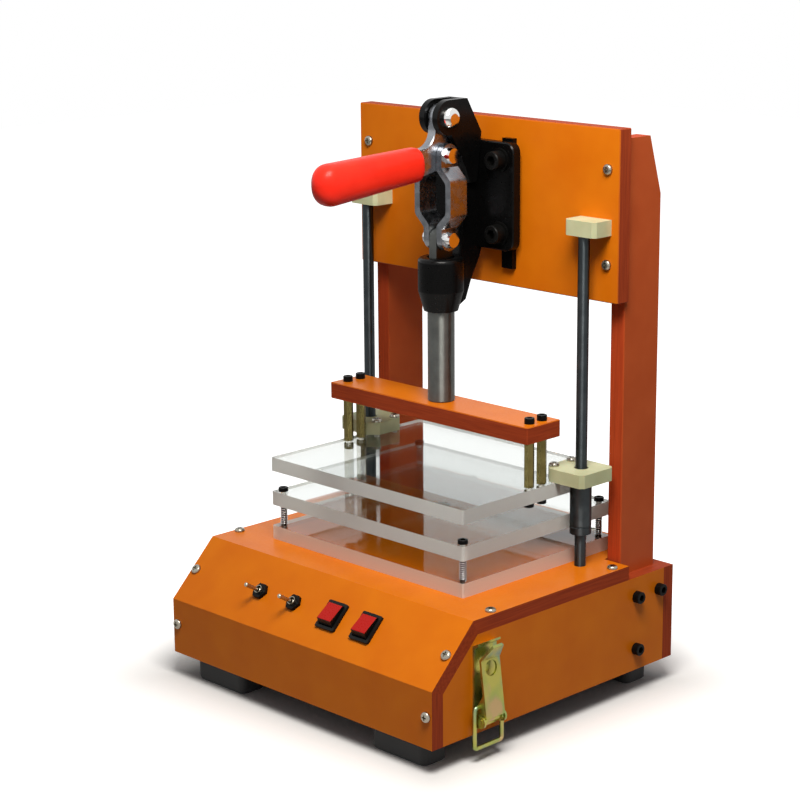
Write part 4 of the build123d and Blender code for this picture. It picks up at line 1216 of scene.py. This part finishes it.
@dataclass
class Studio:
    """Pale floor, white surroundings, lamps and the camera at the photograph's angle.

    Attributes:
        floor_size: The floor's width and depth.
        floor_hex: Its paint.
        floor_bounce_hex: The same paint, as the light that it throws up at the object sees it.
        floor_roughness: The paint's roughness.
        floor_mirror: How strongly the paint mirrors.
        footprint: Half the box's width and depth, inside which the floor keeps its shadow.
        near_glow: The white added to the floor under the object.
        far_glow: The white added well away from it.
        fade: The distance over which that white comes in.
        sky_strength: The surroundings' light on the object.
        camera_mm: The camera's position in millimetres.
        azimuth_deg: How far its view is turned to the left.
        elevation_deg: How far it looks down.
        roll_deg: How far it is rolled.
        focal_px: Its focal length in pixels.
        picture_px: The picture's width in pixels.
        sensor_mm: The sensor's width.
        view_depth: How far it sees.
        lamps: The lamps.
    """

    floor_size: float = 6.0
    floor_hex: str = "f4f4f3"
    floor_bounce_hex: str = "7c7c7b"
    floor_roughness: float = 0.9
    floor_mirror: float = 0.1
    footprint: Triple = (0.130, 0.121, 0.0)
    near_glow: float = 0.0
    far_glow: float = 1.0
    fade: float = 0.14
    sky_strength: float = 0.16
    camera_mm: Triple = (1040.9, -1040.4, 570.3)
    azimuth_deg: float = 45.56
    elevation_deg: float = 13.93
    roll_deg: float = -0.46
    focal_px: float = 2180.8
    picture_px: float = 800.0
    sensor_mm: float = 36.0
    view_depth: float = 20.0
    lamps: list[SoftBox] = field(
        default_factory=lambda: [
            SoftBox("key_softbox", (0.38, -0.31, 0.90), (0.0, 0.02, 0.25), (0.42, 0.32), 8.7, "fffaf4"),
            SoftBox("overhead_softbox", (-0.1, 0.1, 1.35), (0.0, 0.0, 0.1), (0.9, 0.7), 1.2),
        ]
    )

    def away_from_footprint(self, tree: Tree) -> Socket:
        """Measure how far a point of the floor lies outside the object's footprint.

        Args:
            tree: The floor material's node tree.

        Returns:
            The distance in metres, 0 inside the footprint.
        """
        place = add_node(tree, "ShaderNodeTexCoord")
        folded = add_node(
            tree, "ShaderNodeVectorMath", {"operation": "ABSOLUTE"}, {0: place.outputs["Object"]}
        )
        beyond = add_node(
            tree,
            "ShaderNodeVectorMath",
            {"operation": "SUBTRACT", 1: self.footprint},
            {0: folded.outputs["Vector"]},
        )
        outside = add_node(
            tree,
            "ShaderNodeVectorMath",
            {"operation": "MAXIMUM", 1: (0.0, 0.0, 0.0)},
            {0: beyond.outputs["Vector"]},
        )
        reach = add_node(
            tree, "ShaderNodeVectorMath", {"operation": "LENGTH"}, {0: outside.outputs["Vector"]}
        )
        return reach.outputs["Value"]

    def floor(self) -> None:
        """Lay the floor, white to the camera and through the glass but keeping the shadow."""
        bm = bmesh.new()
        bmesh.ops.create_grid(bm, x_segments=1, y_segments=1, size=self.floor_size / 2)
        mesh = bpy.data.meshes.new("studio_floor")
        bm.to_mesh(mesh)
        bm.free()
        mat = bpy.data.materials.new("pale_floor")
        mat.use_nodes = True
        tree = mat.node_tree
        tree.nodes.clear()
        tone = add_node(
            tree,
            "ShaderNodeMix",
            {
                "data_type": "RGBA",
                6: linear(self.floor_hex),
                7: linear(self.floor_bounce_hex),
            },
            {0: ray_is(tree, "Is Diffuse Ray")},
        )
        paint = add_node(
            tree,
            "ShaderNodeBsdfPrincipled",
            {"Roughness": self.floor_roughness, "Specular IOR Level": self.floor_mirror},
            {"Base Color": tone.outputs[2]},
        )
        lift = add_node(
            tree,
            "ShaderNodeMapRange",
            {"From Max": self.fade, "To Min": self.near_glow, "To Max": self.far_glow},
            {"Value": self.away_from_footprint(tree)},
        )
        seen_lift = add_node(
            tree,
            "ShaderNodeMath",
            {"operation": "MULTIPLY"},
            {0: ray_is(tree, "Is Camera Ray", "Is Transmission Ray"), 1: lift.outputs["Result"]},
        )
        glow = add_node(
            tree, "ShaderNodeEmission", {"Color": WHITE}, {"Strength": seen_lift.outputs[0]}
        )
        both = add_node(tree, "ShaderNodeAddShader", links={0: paint.outputs[0], 1: glow.outputs[0]})
        add_node(tree, "ShaderNodeOutputMaterial", links={"Surface": both.outputs[0]})
        mesh.materials.append(mat)
        floor = bpy.data.objects.new("studio_floor", mesh)
        bpy.context.scene.collection.objects.link(floor)

    def surroundings(self) -> None:
        """Make the surroundings white to the camera, mirrors and glass, and dimmer as a lamp."""
        world = bpy.data.worlds.new("studio_surroundings")
        bpy.context.scene.world = world
        world.use_nodes = True
        tree = world.node_tree
        tree.nodes.clear()
        sky, white = (
            add_node(tree, "ShaderNodeBackground", {"Strength": strength, "Color": WHITE})
            for strength in (self.sky_strength, 1.0)
        )
        seen = ray_is(tree, "Is Camera Ray", "Is Transmission Ray", "Is Glossy Ray")
        mix = add_node(
            tree,
            "ShaderNodeMixShader",
            links={0: seen, 1: sky.outputs[0], 2: white.outputs[0]},
        )
        add_node(tree, "ShaderNodeOutputWorld", links={"Surface": mix.outputs[0]})

    def camera(self) -> None:
        """Set the camera where the photograph was taken from."""
        az, el, roll = (math.radians(a) for a in (self.azimuth_deg, self.elevation_deg, self.roll_deg))
        ahead = Vector((-math.sin(az) * math.cos(el), math.cos(az) * math.cos(el), -math.sin(el)))
        level = Vector((math.cos(az), math.sin(az), 0.0))
        over = level.cross(ahead)
        right = level * math.cos(roll) + over * math.sin(roll)
        up = over * math.cos(roll) - level * math.sin(roll)
        turn = Matrix((right, up, -ahead)).transposed().to_4x4()
        data = bpy.data.cameras.new("photo_camera")
        data.sensor_width = self.sensor_mm
        data.lens = self.focal_px / self.picture_px * self.sensor_mm
        data.clip_end = self.view_depth
        eye = bpy.data.objects.new("photo_camera", data)
        eye.matrix_world = Matrix.Translation(Vector(self.camera_mm) * MM) @ turn
        bpy.context.scene.collection.objects.link(eye)
        bpy.context.scene.camera = eye

    def build(self) -> None:
        """Set up the whole studio."""
        self.floor()
        self.surroundings()
        for lamp in self.lamps:
            lamp.build()
        self.camera()
        bpy.context.scene.view_settings.view_transform = "Standard"


def main() -> None:
    """Build every sub-assembly in order, then the studio."""
    logging.basicConfig(level=logging.INFO, format="%(name)s: %(message)s")
    for part in (
        ControlBox(),
        Switches(),
        Tower(),
        PlateStack(),
        PressHead(),
        ToggleClamp(),
        DrawLatches(),
        Studio(),
    ):
        part.build()
        log.info("built %s", type(part).__name__)


if __name__ == "__main__":
    main()
